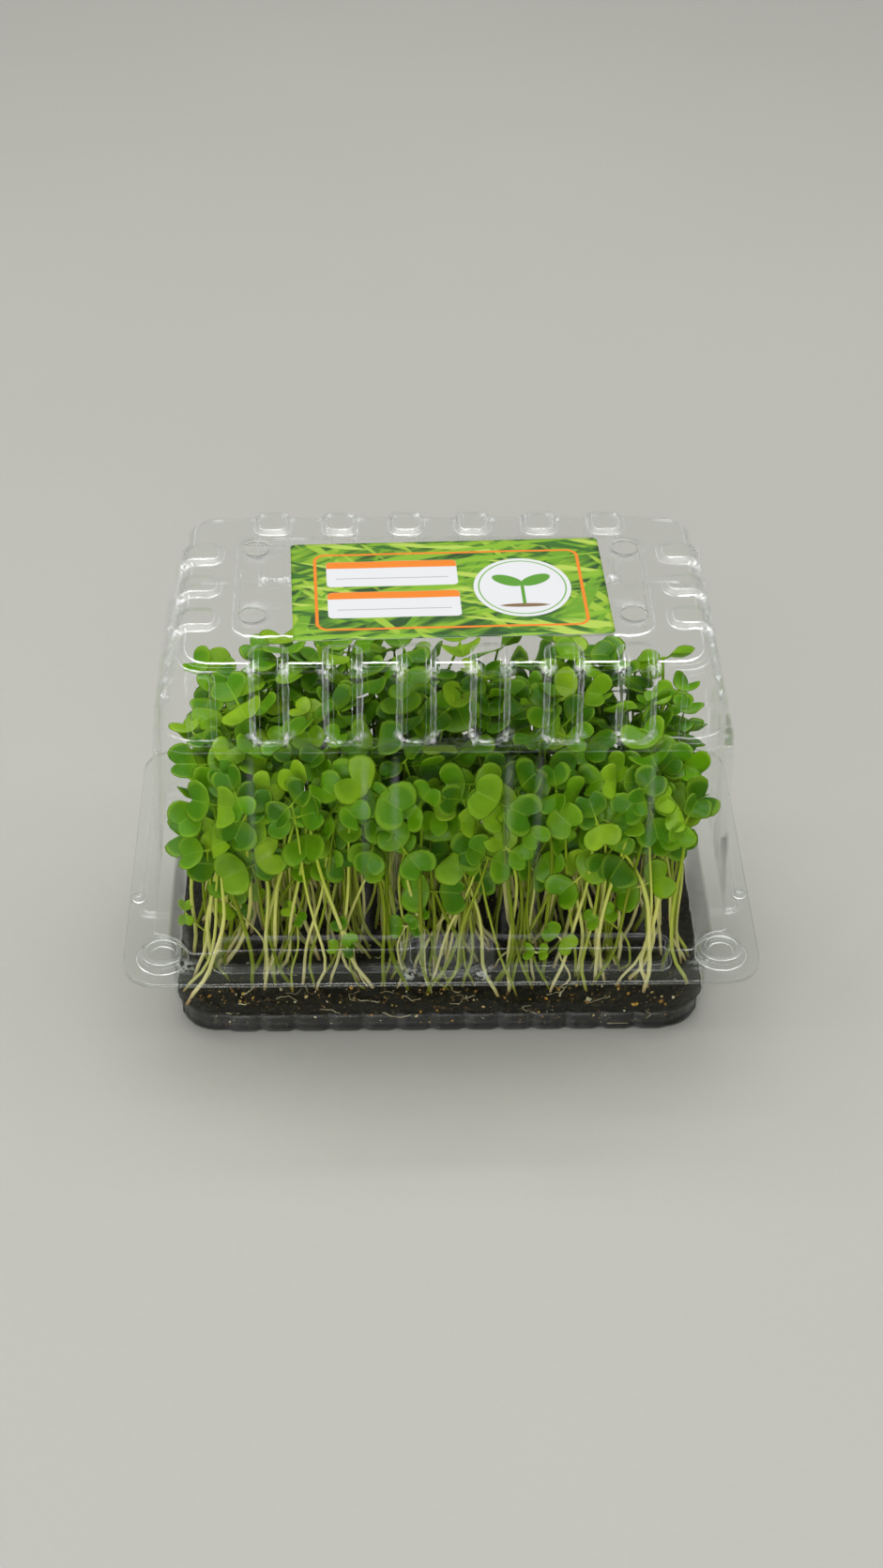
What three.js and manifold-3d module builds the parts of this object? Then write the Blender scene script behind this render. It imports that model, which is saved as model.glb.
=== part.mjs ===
// A clear hinged clamshell of live broccoli microgreens: a fluted tub that holds a slab of growing
// medium, bunches of seedlings standing in it, and a ribbed dome lid with its paper label.
// Millimetres, +Z up. The origin is on the table, under the middle of the tray; the hinge is at the
// back (+Y) and the thumb pad at the front (-Y).
import * as THREE from "three";
import { mergeVertices } from "three/addons/utils/BufferGeometryUtils.js";
import Module from "manifold-3d";

const wasm = await Module();
wasm.setup();

// ---- Driving dimensions ----------------------------------------------------------------------

const SHEET = 0.6; // formed plastic sheet
const RIM = { halfX: 102.5, halfY: 63, corner: 11 }; // flat rim of both halves
const JOINT_Z = 35.5; // height of the plane where the two rims meet
const RIM_GAP = 0.3; // between the two rims
const ROOT = 5; // how deep a form reaches into what it is joined to
const FLUSH = 0.2; // how far under a face its flank ends
const HINGE = { roll: 0.85, halfLength: 88, lidEdge: 1.2 }; // fold along the back edge
const HINGE_Y = RIM.halfY - HINGE.roll;

// The tub from the table up: one row for each change of slope.
const TUB_RINGS = [
  { z: 7.2, halfX: 88.2, halfY: 46.9, cutX: 11.5, cutY: 9.5, bulge: 1.6 },
  { z: JOINT_Z - RIM_GAP / 2, halfX: 88.8, halfY: 47.2, cutX: 11, cutY: 9, bulge: 0.8 },
];
const FOOT = { height: 7.2, halfX: 86, halfY: 45.4, corner: 3.3 }; // fluted lower wall of the tub
const FLUTE = { pitch: 11.2, depth: 0.9, rises: 0.24, perFront: 13, perSide: 6 };

// The dome from the rim up: straight draft, shoulder, upper wall, and a bevelled top edge.
const DOME_RINGS = [
  { z: JOINT_Z + RIM_GAP / 2, halfX: 93.6, halfY: 48.2, cutX: 12, cutY: 10, bulge: -3 },
  { z: 46, halfX: 92.7, halfY: 47.6, cutX: 11.5, cutY: 9.5, bulge: -1 },
  { z: 115, halfX: 90, halfY: 46.4, cutX: 10, cutY: 8, bulge: 1.6 },
  { z: 118.5, halfX: 86.4, halfY: 44.2, cutX: 9, cutY: 7.5, bulge: 2 },
  { z: 143.2, halfX: 81.2, halfY: 43.5, cutX: 8.5, cutY: 7.5, bulge: 2.2 },
  { z: 145.5, halfX: 78.8, halfY: 41.8, cutX: 8, cutY: 7, bulge: 2 },
];
const DOME_TOP_Z = 145.5;
const PANEL = { halfX: 65, halfY: 28.3, corner: 7, rise: 1.2, draft: 0.5 }; // raised middle of the top
const RIB = {
  width: 11.3, slope: 1.1, proud: 2, rise: 1.6, footZ: 116, kneeZ: 141.5, bevel: 2.6, taper: 3.5,
};
// Rows of ribs. `end` is where they stop on the lid's top; the front row sits a little to the right.
const FRONT = { count: 6, pitch: 22.25, middle: 2.4, end: 33.2 };
const BACK = { count: 6, pitch: 21.5, middle: 0, end: 30.8 };
const SIDE = { count: 3, pitch: 18.6, middle: 0, end: 69.5 };
const WALL_FLUTE = { width: 12, flat: 6.4, depth: 1, lowZ: 43, highZ: 112 };
const VENT = { radius: 4.25, x: 58.8, y: 19.1, back: 1.4 }; // four punched holes in the lid's top

// Stiffening beads on the rims: the lid's beads nest over the tub's.
const LID_BEAD = { rise: 1.8, frontHalf: 73, frontY: 55.4, sideX: 98.4, sideFrom: -29, sideTo: 36 };
const TUB_BEAD_INSET = 1; // the tub's beads are this much smaller all round
const BEAD_ROOT = { x: 83, y: -43 }; // where the beads end, inside the walls

// Snap buttons in the front corners: a ring round a lower middle, and the tub's peg inside it.
const BUTTON = { x: 90, y: -50, radius: 8.2, rise: 3.9, innerRadius: 4.5, dip: 2, draft: 0.9 };
const PEG = { radius: 7.1, rise: 1.05, draft: 0.8 };
const PAD = { halfX: 15, backY: -44, middleY: -47.6, depth: 6.6, rise: 3.4, draft: 1.2 }; // thumb pad
const NUB = { x: 99.9, y: -20, radius: 2.2, rise: 2.6, draft: 0.8 };

const LABEL = { width: 98, depth: 54.9, corner: 1.5, thickness: 0.4, gap: 0.3, x: 2.1, y: -3.4, turn: 2.1 };

// Growing medium.
const SOIL_GAP = 0.4; // to the tub's walls
const SOIL_Z = 12;
const PLUG = { radius: 2.9, lowZ: 5, topZ: 11, holeRadius: 4.4, holeZ: 4 };

// Seedlings.
const BUNCH_COLUMNS = 8;
const BUNCH_ROWS = 5;
const BUNCH_PITCH = { x: 20.6, y: 17.6, stagger: 3.4, jitter: 2.6 };
const SEEDLINGS_PER_BUNCH = 3;
const STEM_RADIUS = 0.95;
const STEM_TIP_RADIUS = 0.25; // where the stem ends inside the leaf pair
const LEAF_THICKNESS = 0.6;
const CANOPY = { halfY: 45.2, topZ: 107, sweep: 105.2 }; // clear of the lid, also as it opens
const CLEAR = 2.5; // least distance between the check points of two bunches
const TRIES = 40;
const SEED = 20611;

// ---- Solids ----------------------------------------------------------------------------------

// A closed BufferGeometry as a manifold solid, whichever way its faces are wound.
function solid(geometry) {
  const g = geometry.clone();
  g.deleteAttribute("normal");
  g.deleteAttribute("uv");
  const merged = mergeVertices(g, 1e-4);
  const vertProperties = new Float32Array(merged.attributes.position.array);
  const wind = (triVerts) => new wasm.Manifold(new wasm.Mesh({ numProp: 3, vertProperties, triVerts }));
  const body = wind(new Uint32Array(merged.index.array));
  return body.volume() > 0 ? body : wind(new Uint32Array(merged.index.array).reverse());
}

// A solid back as a BufferGeometry.
function geometryOf(body) {
  const { numProp, vertProperties, triVerts } = body.getMesh();
  const g = new THREE.BufferGeometry();
  const points = vertProperties.filter((_, i) => i % numProp < 3);
  g.setAttribute("position", new THREE.BufferAttribute(new Float32Array(points), 3));
  g.setIndex(new THREE.BufferAttribute(new Uint32Array(triVerts), 1));
  g.computeVertexNormals();
  return g;
}

const join = (bodies) => bodies.reduce((all, one) => all.add(one));
const cut = (body, tools) => body.subtract(join(tools));

// A solid through closed rings of Vector3 with the same count.
function loft(rings) {
  const count = rings[0].length;
  const positions = rings.flat().flatMap((p) => [p.x, p.y, p.z]);
  const faces = [];
  for (let r = 0; r + 1 < rings.length; r += 1) {
    for (let i = 0; i < count; i += 1) {
      const j = (i + 1) % count;
      const [a, b] = [r * count + i, r * count + j];
      faces.push(a, b, b + count, a, b + count, a + count);
    }
  }
  const last = (rings.length - 1) * count;
  for (const [p, q, s] of capFaces(rings[0])) faces.push(p, s, q);
  for (const [p, q, s] of capFaces(rings.at(-1))) faces.push(last + p, last + q, last + s);
  const g = new THREE.BufferGeometry();
  g.setAttribute("position", new THREE.Float32BufferAttribute(positions, 3));
  g.setIndex(faces);
  return solid(g);
}

// Triangles of a flat ring, seen in the two axes of its own plane.
function capFaces(ring) {
  const origin = ring[0];
  const normal = new THREE.Vector3();
  ring.forEach((p, i) => {
    const a = p.clone().sub(origin);
    const b = ring[(i + 1) % ring.length].clone().sub(origin);
    normal.add(a.cross(b));
  });
  normal.normalize();
  const across = ring[1].clone().sub(origin).normalize();
  const up = normal.clone().cross(across);
  const flat = ring.map((p) => {
    const d = p.clone().sub(origin);
    return new THREE.Vector2(d.dot(across), d.dot(up));
  });
  return THREE.ShapeUtils.triangulateShape(flat, []);
}

const atHeight = (outline, z) => outline.map((p) => new THREE.Vector3(p.x, p.y, z));

// Points of a rectangle with round corners, counterclockwise.
function roundedOutline(halfX, halfY, radius, segments = 3) {
  const shape = new THREE.Shape();
  shape.absarc(halfX - radius, halfY - radius, radius, 0, Math.PI / 2);
  shape.absarc(radius - halfX, halfY - radius, radius, Math.PI / 2, Math.PI);
  shape.absarc(radius - halfX, radius - halfY, radius, Math.PI, 1.5 * Math.PI);
  shape.absarc(halfX - radius, radius - halfY, radius, 1.5 * Math.PI, 2 * Math.PI);
  const outline = shape.curves.flatMap((arc, i) => (i % 2 ? [] : arc.getPoints(segments)));
  return outline;
}

function plate(outline, lowZ, highZ) {
  return loft([atHeight(outline, lowZ), atHeight(outline, highZ)]);
}

// An upright block whose top is smaller by `draft` all round.
function block(x0, x1, y0, y1, lowZ, highZ, draft = 0.6) {
  const corners = (d) => [
    new THREE.Vector2(x0 + d, y0 + d),
    new THREE.Vector2(x1 - d, y0 + d),
    new THREE.Vector2(x1 - d, y1 - d),
    new THREE.Vector2(x0 + d, y1 - d),
  ];
  return loft([atHeight(corners(0), lowZ), atHeight(corners(draft), highZ)]);
}

function turned(profile, sides, x, y) {
  const points = profile.map(([r, z]) => new THREE.Vector2(r, z));
  const lathe = new THREE.LatheGeometry(points, sides);
  lathe.rotateX(Math.PI / 2);
  lathe.translate(x, y, 0);
  return solid(lathe);
}

// ---- The clamshell's wall outline ------------------------------------------------------------

// A corner cut at 45 degrees gets this much shorter for each mm of inset.
const CUT_SHRINK = 2 - Math.SQRT2;

// One level of a wall: a rectangle whose corners are cut off along a line that bulges out or in.
// `inset` moves the whole outline inwards, which gives the inner skin of the sheet.
function wallRing({ z, halfX, halfY, cutX, cutY, bulge }, inset = 0, lift = 0) {
  const hx = halfX - inset;
  const hy = halfY - inset;
  const cx = cutX - CUT_SHRINK * inset;
  const cy = cutY - CUT_SHRINK * inset;
  const steps = 3;
  const ring = [];
  for (const [sx, sy] of [[1, 1], [-1, 1], [-1, -1], [1, -1]]) {
    const fromSide = new THREE.Vector2(sx * hx, sy * (hy - cy));
    const fromFront = new THREE.Vector2(sx * (hx - cx), sy * hy);
    const [a, b] = sx * sy > 0 ? [fromSide, fromFront] : [fromFront, fromSide];
    const out = new THREE.Vector2(sx * cutY, sy * cutX).normalize();
    for (let i = 0; i <= steps; i += 1) {
      const t = i / steps;
      const p = a.clone().lerp(b, t).addScaledVector(out, bulge * 4 * t * (1 - t));
      ring.push(new THREE.Vector3(p.x, p.y, z + lift));
    }
  }
  return ring;
}

// ---- Tub -------------------------------------------------------------------------------------

// The fluted lower wall: shallow waves, flat-topped, run round all four sides.
function flutedOutline(inset) {
  const { halfX, halfY, corner } = FOOT;
  const outline = [];
  const side = (count, dirX, dirY, distance, shift = 0) => {
    const outX = dirY;
    const outY = -dirX;
    const half = (count * FLUTE.pitch) / 2;
    for (let i = 0; i < count; i += 1) {
      for (const [part, push] of [[0, 0], [FLUTE.rises, FLUTE.depth], [1 - FLUTE.rises, FLUTE.depth]]) {
        const along = (i + part) * FLUTE.pitch - half + shift;
        const away = distance - inset + push;
        outline.push(new THREE.Vector2(dirX * along + outX * away, dirY * along + outY * away));
      }
    }
    const away = distance - inset;
    const end = half + shift;
    outline.push(new THREE.Vector2(dirX * end + outX * away, dirY * end + outY * away));
  };
  const cornerPoint = (sx, sy) => {
    const pull = inset + corner;
    outline.push(new THREE.Vector2(sx * (halfX - pull), sy * (halfY - pull)));
  };
  side(FLUTE.perFront, 1, 0, halfY, FRONT.middle);
  cornerPoint(1, -1);
  side(FLUTE.perSide, 0, 1, halfX);
  cornerPoint(1, 1);
  side(FLUTE.perFront, -1, 0, halfY);
  cornerPoint(-1, 1);
  side(FLUTE.perSide, 0, -1, halfX);
  cornerPoint(-1, -1);
  return outline;
}

// The tub's skin: `inset` 0 is the outside, SHEET the inside.
function tubSkin(inset, lift) {
  const foot = plate(flutedOutline(inset), inset, FOOT.height + inset + FLUSH);
  const rings = TUB_RINGS.map((ring, i) => wallRing(ring, inset, i ? 0 : inset));
  const topRing = wallRing(TUB_RINGS.at(-1), inset, lift);
  return foot.add(loft(lift ? [...rings, topRing] : rings));
}

function tubBody() {
  const rimTop = JOINT_Z - RIM_GAP / 2;
  const rimLow = rimTop - SHEET;
  const rim = roundedOutline(RIM.halfX, RIM.halfY, RIM.corner);
  const beadTop = rimTop + LID_BEAD.rise - SHEET;
  const bead = (inset) => beads(TUB_BEAD_INSET + inset, rimLow - inset, beadTop - inset);
  const peg = (s, inset) => {
    const [wide, top] = [PEG.radius - inset, rimTop + PEG.rise - inset];
    const profile = [[0, rimLow - inset], [wide, rimLow - inset], [wide - PEG.draft, top], [0, top]];
    return turned(profile, 10, s * BUTTON.x, BUTTON.y);
  };
  const pressed = (inset) => [...bead(inset), peg(-1, inset), peg(1, inset)];
  const outside = join([plate(rim, rimLow, rimTop), ...pressed(0), hingeRoll()]);
  return cut(cut(outside, pressed(SHEET)).add(tubSkin(0, 0)), [tubSkin(SHEET, ROOT)]);
}

// The three stiffening beads of a rim, `inset` smaller all round.
function beads(inset, lowZ, highZ) {
  const side = (s) => {
    const [near, far] = [s * BEAD_ROOT.x, s * (LID_BEAD.sideX - inset)];
    return block(Math.min(near, far), Math.max(near, far), LID_BEAD.sideFrom + inset,
      LID_BEAD.sideTo - inset, lowZ, highZ);
  };
  const half = LID_BEAD.frontHalf - inset;
  return [block(-half, half, inset - LID_BEAD.frontY, BEAD_ROOT.y, lowZ, highZ), side(-1), side(1)];
}

// The fold along the back edge, modelled as a thin roll on the tub's rim.
function hingeRoll() {
  const roll = new THREE.CylinderGeometry(HINGE.roll, HINGE.roll, 2 * HINGE.halfLength, 8);
  roll.rotateZ(Math.PI / 2);
  roll.translate(0, HINGE_Y, JOINT_Z);
  return solid(roll);
}

// ---- Lid -------------------------------------------------------------------------------------

const ribCentres = ({ count, pitch, middle }) =>
  Array.from({ length: count }, (_, i) => middle + (i - (count - 1) / 2) * pitch);

// The flutes stand under every other gap between ribs.
const fluteCentres = ({ count, pitch, middle }) =>
  (count > 3 ? [-3, -1, 1, 3] : [-0.5, 0.5]).map((step) => middle + step * pitch);

// A rib that runs up a wall, over the top edge and in along the lid's top. It is lofted along the
// wall from side profiles: flush at both flanks, proud across its face.
function rib(side, centre, innerEnd, inset) {
  const alongX = side.x === 0;
  const half = RIB.width / 2 - inset;
  const wallAt = (z) => {
    const [low, high] = [DOME_RINGS[3], DOME_RINGS[4]];
    const t = (z - low.z) / (high.z - low.z);
    const key = alongX ? "halfY" : "halfX";
    return low[key] + (high[key] - low[key]) * t - inset;
  };
  const end = innerEnd + inset;
  const bevel = wallAt(RIB.kneeZ) - RIB.bevel;
  const profile = (share) => {
    const out = RIB.proud * share - FLUSH * (1 - share);
    const top = DOME_TOP_Z - inset + RIB.rise * share - FLUSH * (1 - share);
    const foot = RIB.footZ + inset + RIB.taper * (1 - share);
    return [
      [wallAt(foot) - ROOT, foot],
      [wallAt(foot) + out, foot],
      [wallAt(RIB.kneeZ) + out, RIB.kneeZ],
      [bevel, top],
      [end, top],
      [end, top - ROOT],
    ];
  };
  const place = (along, share) =>
    profile(share).map(([away, z]) =>
      alongX
        ? new THREE.Vector3(-side.y * along + centre, side.y * away, z)
        : new THREE.Vector3(side.x * away, side.x * along + centre, z)
    );
  return loft([
    place(-half, 0),
    place(RIB.slope - half, 1),
    place(half - RIB.slope, 1),
    place(half, 0),
  ]);
}

// A shallow upright flute on the lower wall of the dome.
function wallFlute(side, centre, inset) {
  const alongX = side.x === 0;
  const key = alongX ? "halfY" : "halfX";
  const [low, high] = [DOME_RINGS[1], DOME_RINGS[2]];
  const level = (z) => {
    const t = (z - low.z) / (high.z - low.z);
    const wall = low[key] + (high[key] - low[key]) * t - inset;
    const [wide, flat] = [WALL_FLUTE.width / 2 - inset / 2, WALL_FLUTE.flat / 2 - inset / 2];
    const points = [[-wide, -ROOT], [wide, -ROOT], [wide, -FLUSH], [flat, WALL_FLUTE.depth],
      [-flat, WALL_FLUTE.depth], [-wide, -FLUSH]];
    return points.map(([along, out]) =>
      alongX
        ? new THREE.Vector3(-side.y * along + centre, side.y * (wall + out), z)
        : new THREE.Vector3(side.x * (wall + out), side.x * along + centre, z)
    );
  };
  return loft([level(WALL_FLUTE.lowZ), level(WALL_FLUTE.highZ)]);
}

// The lid's skin: the whole formed shape as a solid, `inset` 0 outside, SHEET inside.
function lidSkin(inset) {
  const rimLow = JOINT_Z + RIM_GAP / 2;
  const low = inset ? rimLow - ROOT : rimLow;
  const rings = DOME_RINGS.map((ring) => wallRing(ring, inset));
  rings.push(rings.pop().map((p) => p.setZ(DOME_TOP_Z - inset)));
  if (inset) rings.unshift(wallRing({ ...DOME_RINGS[0], z: low }, inset));
  const panel = (d) => roundedOutline(PANEL.halfX - d, PANEL.halfY - d, PANEL.corner - d);
  const faces = [
    { x: 0, y: -1, row: FRONT },
    { x: 0, y: 1, row: BACK },
    { x: -1, y: 0, row: SIDE },
    { x: 1, y: 0, row: SIDE },
  ];
  const ribs = faces.flatMap((side) =>
    ribCentres(side.row).map((centre) => rib(side, centre, side.row.end, inset)));
  const flutes = faces.flatMap((side) =>
    fluteCentres(side.row).map((centre) => wallFlute(side, centre, inset)));
  return join([
    loft(rings),
    loft([atHeight(panel(inset), DOME_TOP_Z - ROOT),
      atHeight(panel(inset + PANEL.draft), DOME_TOP_Z + PANEL.rise - inset)]),
    ...ribs,
    ...flutes,
    ...beads(inset, low, rimLow + LID_BEAD.rise - inset),
    thumbPad(inset, low),
    snapButton(-1, inset, low),
    snapButton(1, inset, low),
  ]);
}

// The thumb pad: a half-moon that stands up from the front bead against the wall.
function thumbPad(inset, low) {
  const moon = (d, z) => {
    const half = PAD.halfX - d;
    const points = [new THREE.Vector3(half, PAD.backY, z), new THREE.Vector3(-half, PAD.backY, z)];
    for (let i = 0; i <= 6; i += 1) {
      const a = Math.PI + (i / 6) * Math.PI;
      points.push(new THREE.Vector3(
        Math.cos(a) * half, PAD.middleY + Math.sin(a) * (PAD.depth - d), z));
    }
    return points.map((p) => p.setX(p.x + FRONT.middle));
  };
  const top = JOINT_Z + RIM_GAP / 2 + PAD.rise - inset;
  return loft([moon(inset, low), moon(inset + PAD.draft, top)]);
}

// A snap button: a raised ring round a lower middle.
function snapButton(s, inset, low) {
  const { draft, dip, rise } = BUTTON;
  const wide = BUTTON.radius - inset;
  const inner = BUTTON.innerRadius + inset / 2;
  const top = JOINT_Z + RIM_GAP / 2 + rise - inset;
  const profile = [[0, low], [wide, low], [wide - draft, top], [inner + draft / 2, top],
    [inner - draft / 2, top - dip], [0, top - dip]];
  return turned(profile, 10, s * BUTTON.x, BUTTON.y);
}

function lidBody() {
  const rimLow = JOINT_Z + RIM_GAP / 2;
  const rim = roundedOutline(RIM.halfX, RIM.halfY, RIM.corner)
    .map((p) => new THREE.Vector2(p.x, Math.min(p.y, HINGE_Y - HINGE.lidEdge)));
  const nubs = [-1, 1].map((s) =>
    turned([[0, rimLow], [NUB.radius, rimLow], [NUB.radius - NUB.draft, rimLow + NUB.rise],
      [0, rimLow + NUB.rise]], 8, s * NUB.x, NUB.y));
  const shell = cut(plate(rim, rimLow, rimLow + SHEET).add(lidSkin(0)), [lidSkin(SHEET)]);
  const [under, over] = [DOME_TOP_Z - ROOT, DOME_TOP_Z + ROOT];
  const vents = [[-1, -1], [1, -1], [1, 1], [-1, 1]].map(([sx, sy]) =>
    turned([[0, under], [VENT.radius, under], [VENT.radius, over], [0, over]], 10,
      sx * VENT.x, sy * VENT.y + VENT.back));
  return cut(join([shell, ...nubs]), vents);
}

function labelBody() {
  const lowZ = DOME_TOP_Z + PANEL.rise + LABEL.gap;
  const outline = roundedOutline(LABEL.width / 2, LABEL.depth / 2, LABEL.corner, 2);
  const turn = THREE.MathUtils.degToRad(LABEL.turn);
  const centre = new THREE.Vector2(LABEL.x, LABEL.y);
  const placed = outline.map((p) => p.rotateAround(new THREE.Vector2(), turn).add(centre));
  return plate(placed, lowZ, lowZ + LABEL.thickness);
}

// ---- Seedlings -------------------------------------------------------------------------------

// A repeatable draw: the minimal-standard generator, one number from 0 to 1 a call.
function generator(seed) {
  let state = seed;
  return () => {
    state = (state * 48271) % 2147483647;
    return state / 2147483647;
  };
}

// Half of a leaf pair in its own plane: distance from the stem tip, and half width there. The last
// point is the notch in the leaf's end.
const LEAF_EDGE = [[3.1, 3.7], [7.1, 6], [11.2, 3.9]];
const LEAF_NOTCH = 10;
const LEAF_WAIST = 1;

// Where the canopy may be: inside the dome, and inside the arc that the lid's front edge sweeps
// when it opens.
function inCanopy(p) {
  const wallX = 88.6 - 0.03 * (p.z - 40);
  const corner = Math.abs(p.x) / 10 + Math.abs(p.y) / 8;
  const reach = Math.hypot(HINGE_Y - p.y, p.z - JOINT_Z);
  const sweep = CANOPY.sweep - 0.6 * Math.max(0, Math.abs(p.x) - 78);
  return Math.abs(p.x) < wallX && Math.abs(p.y) < CANOPY.halfY && corner < 13.35
    && reach < sweep && p.z < CANOPY.topZ;
}

// One seedling: a bent stem from the root to the tip, and a pair of leaves across the tip.
function drawSeedling(random, centre, index) {
  const fan = (index + random() * 0.8) * ((2 * Math.PI) / SEEDLINGS_PER_BUNCH);
  const spread = 3 + 9 * random();
  const lean = (random() - 0.5) * 14;
  const rim = Math.max(0, (-centre.y - 8) / 28); // 0 in the middle, 1 in the front row
  const [low, high] = [62 - 14 * rim, 103 - 29 * rim];
  const root = new THREE.Vector3(
    centre.x + 1.3 * Math.cos(fan), centre.y + 1.3 * Math.sin(fan), PLUG.topZ - 2);
  const tip = new THREE.Vector3(
    centre.x + spread * Math.cos(fan) + lean,
    centre.y + spread * Math.sin(fan) + (random() - 0.5) * 8,
    low + (high - low) * random() ** 0.75);
  const bend = new THREE.Vector3(
    root.x + (random() - 0.5) * 10, root.y + (random() - 0.5) * 8, root.z + 0.55 * (tip.z - root.z));
  const tilt = THREE.MathUtils.degToRad(8 + 30 * random() + 34 * rim);
  const facing = -Math.PI / 2 + (random() - 0.5) * (rim > 0.3 ? 2 : 6);
  const normal = new THREE.Vector3(
    Math.sin(tilt) * Math.cos(facing), Math.sin(tilt) * Math.sin(facing), Math.cos(tilt));
  const level = new THREE.Vector3(-Math.sin(facing), Math.cos(facing), 0);
  const axis = level.applyAxisAngle(normal, (random() - 0.5) * 2.4);
  const raise = [(random() - 0.35) * 0.5, (random() - 0.35) * 0.5];
  const size = 0.78 + 0.34 * random();
  return { root, bend, tip, normal, axis, raise, size };
}

function stemCurve({ root, bend, tip }) {
  return new THREE.QuadraticBezierCurve3(root, bend, tip);
}

// A point of one leaf of the pair: `along` from the tip, `across` from its midline, `above` its
// middle surface. `side` is 1 or -1.
function leafPoint({ tip, normal, axis, raise, size }, side, along, across, above = 0) {
  const lift = raise[side > 0 ? 0 : 1];
  const out = axis.clone().multiplyScalar(side * Math.cos(lift)).addScaledVector(normal, Math.sin(lift));
  const up = normal.clone().multiplyScalar(Math.cos(lift)).addScaledVector(axis, -side * Math.sin(lift));
  const wide = normal.clone().cross(axis);
  return tip.clone()
    .addScaledVector(out, along * size)
    .addScaledVector(wide, across * size)
    .addScaledVector(along ? up : normal, above);
}

const CHECK_SPACING = 2.2; // between the check points of a stem
const LEAF_CHECKS = [
  ...[0.5, 2.7, 5, 7.3, 9.6].map((l) => [l, 0]),
  ...[3.6, 6, 8.4, 10.6].flatMap((l) => [[l, -2.2], [l, 2.2]]),
  ...[5.2, 7.4, 9.7].flatMap((l) => [[l, -4.4], [l, 4.4]]),
  [7.1, -5.9],
  [7.1, 5.9],
];

function checkPoints(seedling) {
  const curve = stemCurve(seedling);
  const length = seedling.root.distanceTo(seedling.bend) + seedling.bend.distanceTo(seedling.tip);
  const steps = Math.ceil(length / CHECK_SPACING);
  const stem = Array.from({ length: steps - 4 }, (_, i) => curve.getPoint((i + 4) / steps));
  const leaves = [1, -1].flatMap((side) =>
    LEAF_CHECKS.map(([along, across]) => leafPoint(seedling, side, along, across)));
  return { stem, leaves };
}

// All bunches, each a list of seedlings. A seedling that would touch another bunch, or leave the
// canopy, is drawn again, and is left out when every try fails.
function growBunches() {
  const random = generator(SEED);
  const bunches = [];
  const taken = [];
  for (let row = 0; row < BUNCH_ROWS; row += 1) {
    for (let column = 0; column < BUNCH_COLUMNS; column += 1) {
      const shift = (row % 2 ? 1 : -1) * BUNCH_PITCH.stagger;
      const centre = new THREE.Vector3(
        (column - (BUNCH_COLUMNS - 1) / 2) * BUNCH_PITCH.x + shift
          + (random() - 0.5) * BUNCH_PITCH.jitter,
        (row - (BUNCH_ROWS - 1) / 2) * BUNCH_PITCH.y + (random() - 0.5) * BUNCH_PITCH.jitter,
        0);
      bunches.push({ centre, seedlings: [] });
    }
  }
  for (let index = 0; index < SEEDLINGS_PER_BUNCH; index += 1) {
    bunches.forEach((bunch) => {
      for (let attempt = 0; attempt < TRIES; attempt += 1) {
        const seedling = drawSeedling(random, bunch.centre, index);
        const { stem, leaves } = checkPoints(seedling);
        const apart = (these, those) =>
          these.every((p) => those.every((q) => p.distanceToSquared(q) > CLEAR * CLEAR));
        const fits = leaves.every(inCanopy) && taken.every((other) =>
          apart(leaves, other.leaves) && apart(leaves, other.stem) && apart(stem, other.leaves)
          && (other.bunch === bunch || apart(stem, other.stem)));
        if (fits) {
          bunch.seedlings.push(seedling);
          taken.push({ bunch, stem, leaves });
          break;
        }
      }
    });
  }
  return bunches;
}

// A three-sided stem along the curve.
function stemBody(seedling) {
  const curve = stemCurve(seedling);
  const rings = [0, 0.5, 1].map((t) => {
    const ahead = curve.getTangent(t);
    const centre = curve.getPoint(t);
    const radius = t < 1 ? STEM_RADIUS : STEM_TIP_RADIUS;
    const u = new THREE.Vector3(1, 0, 0).addScaledVector(ahead, -ahead.x).normalize();
    const v = ahead.clone().cross(u);
    return [0, 1, 2].map((k) => {
      const a = (k * 2 * Math.PI) / 3;
      return centre.clone()
        .addScaledVector(u, radius * Math.cos(a))
        .addScaledVector(v, radius * Math.sin(a));
    });
  });
  return loft(rings);
}

// The leaf pair as one thin folded plate. Both faces are split into the same triangles.
function leafPairBody(seedling) {
  const edge = [];
  for (const side of [1, -1]) {
    const points = [
      ...LEAF_EDGE.map(([along, half]) => [along, -half * side]),
      [LEAF_NOTCH, 0],
      ...LEAF_EDGE.toReversed().map(([along, half]) => [along, half * side]),
    ];
    edge.push({ side, along: 0, across: -LEAF_WAIST * side });
    points.forEach(([along, across]) => edge.push({ side, along, across }));
  }
  const count = edge.length;
  const half = count / 2;
  const positions = [LEAF_THICKNESS / 2, -LEAF_THICKNESS / 2].flatMap((above) =>
    edge.flatMap(({ side, along, across }) =>
      leafPoint(seedling, side, along, across, above).toArray()));
  const faces = [];
  for (const start of [0, half]) {
    const notch = start + half / 2;
    for (let i = 0; i < half; i += 1) {
      const a = start + i;
      const b = (start + i + 1) % count;
      if (a !== notch && b !== notch) {
        faces.push(notch, a, b);
        faces.push(notch + count, b + count, a + count);
      }
      faces.push(a, a + count, b + count, a, b + count, b);
    }
    const [first, last] = [start, (start + half) % count];
    faces.push(notch, last, first);
    faces.push(notch + count, first + count, last + count);
  }
  const g = new THREE.BufferGeometry();
  g.setAttribute("position", new THREE.Float32BufferAttribute(positions, 3));
  g.setIndex(faces);
  return solid(g);
}

function plugBody(centre) {
  const profile = [[0, PLUG.lowZ], [PLUG.radius, PLUG.lowZ], [PLUG.radius * 0.8, PLUG.topZ],
    [0, PLUG.topZ]];
  return turned(profile, 4, centre.x, centre.y);
}

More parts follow.
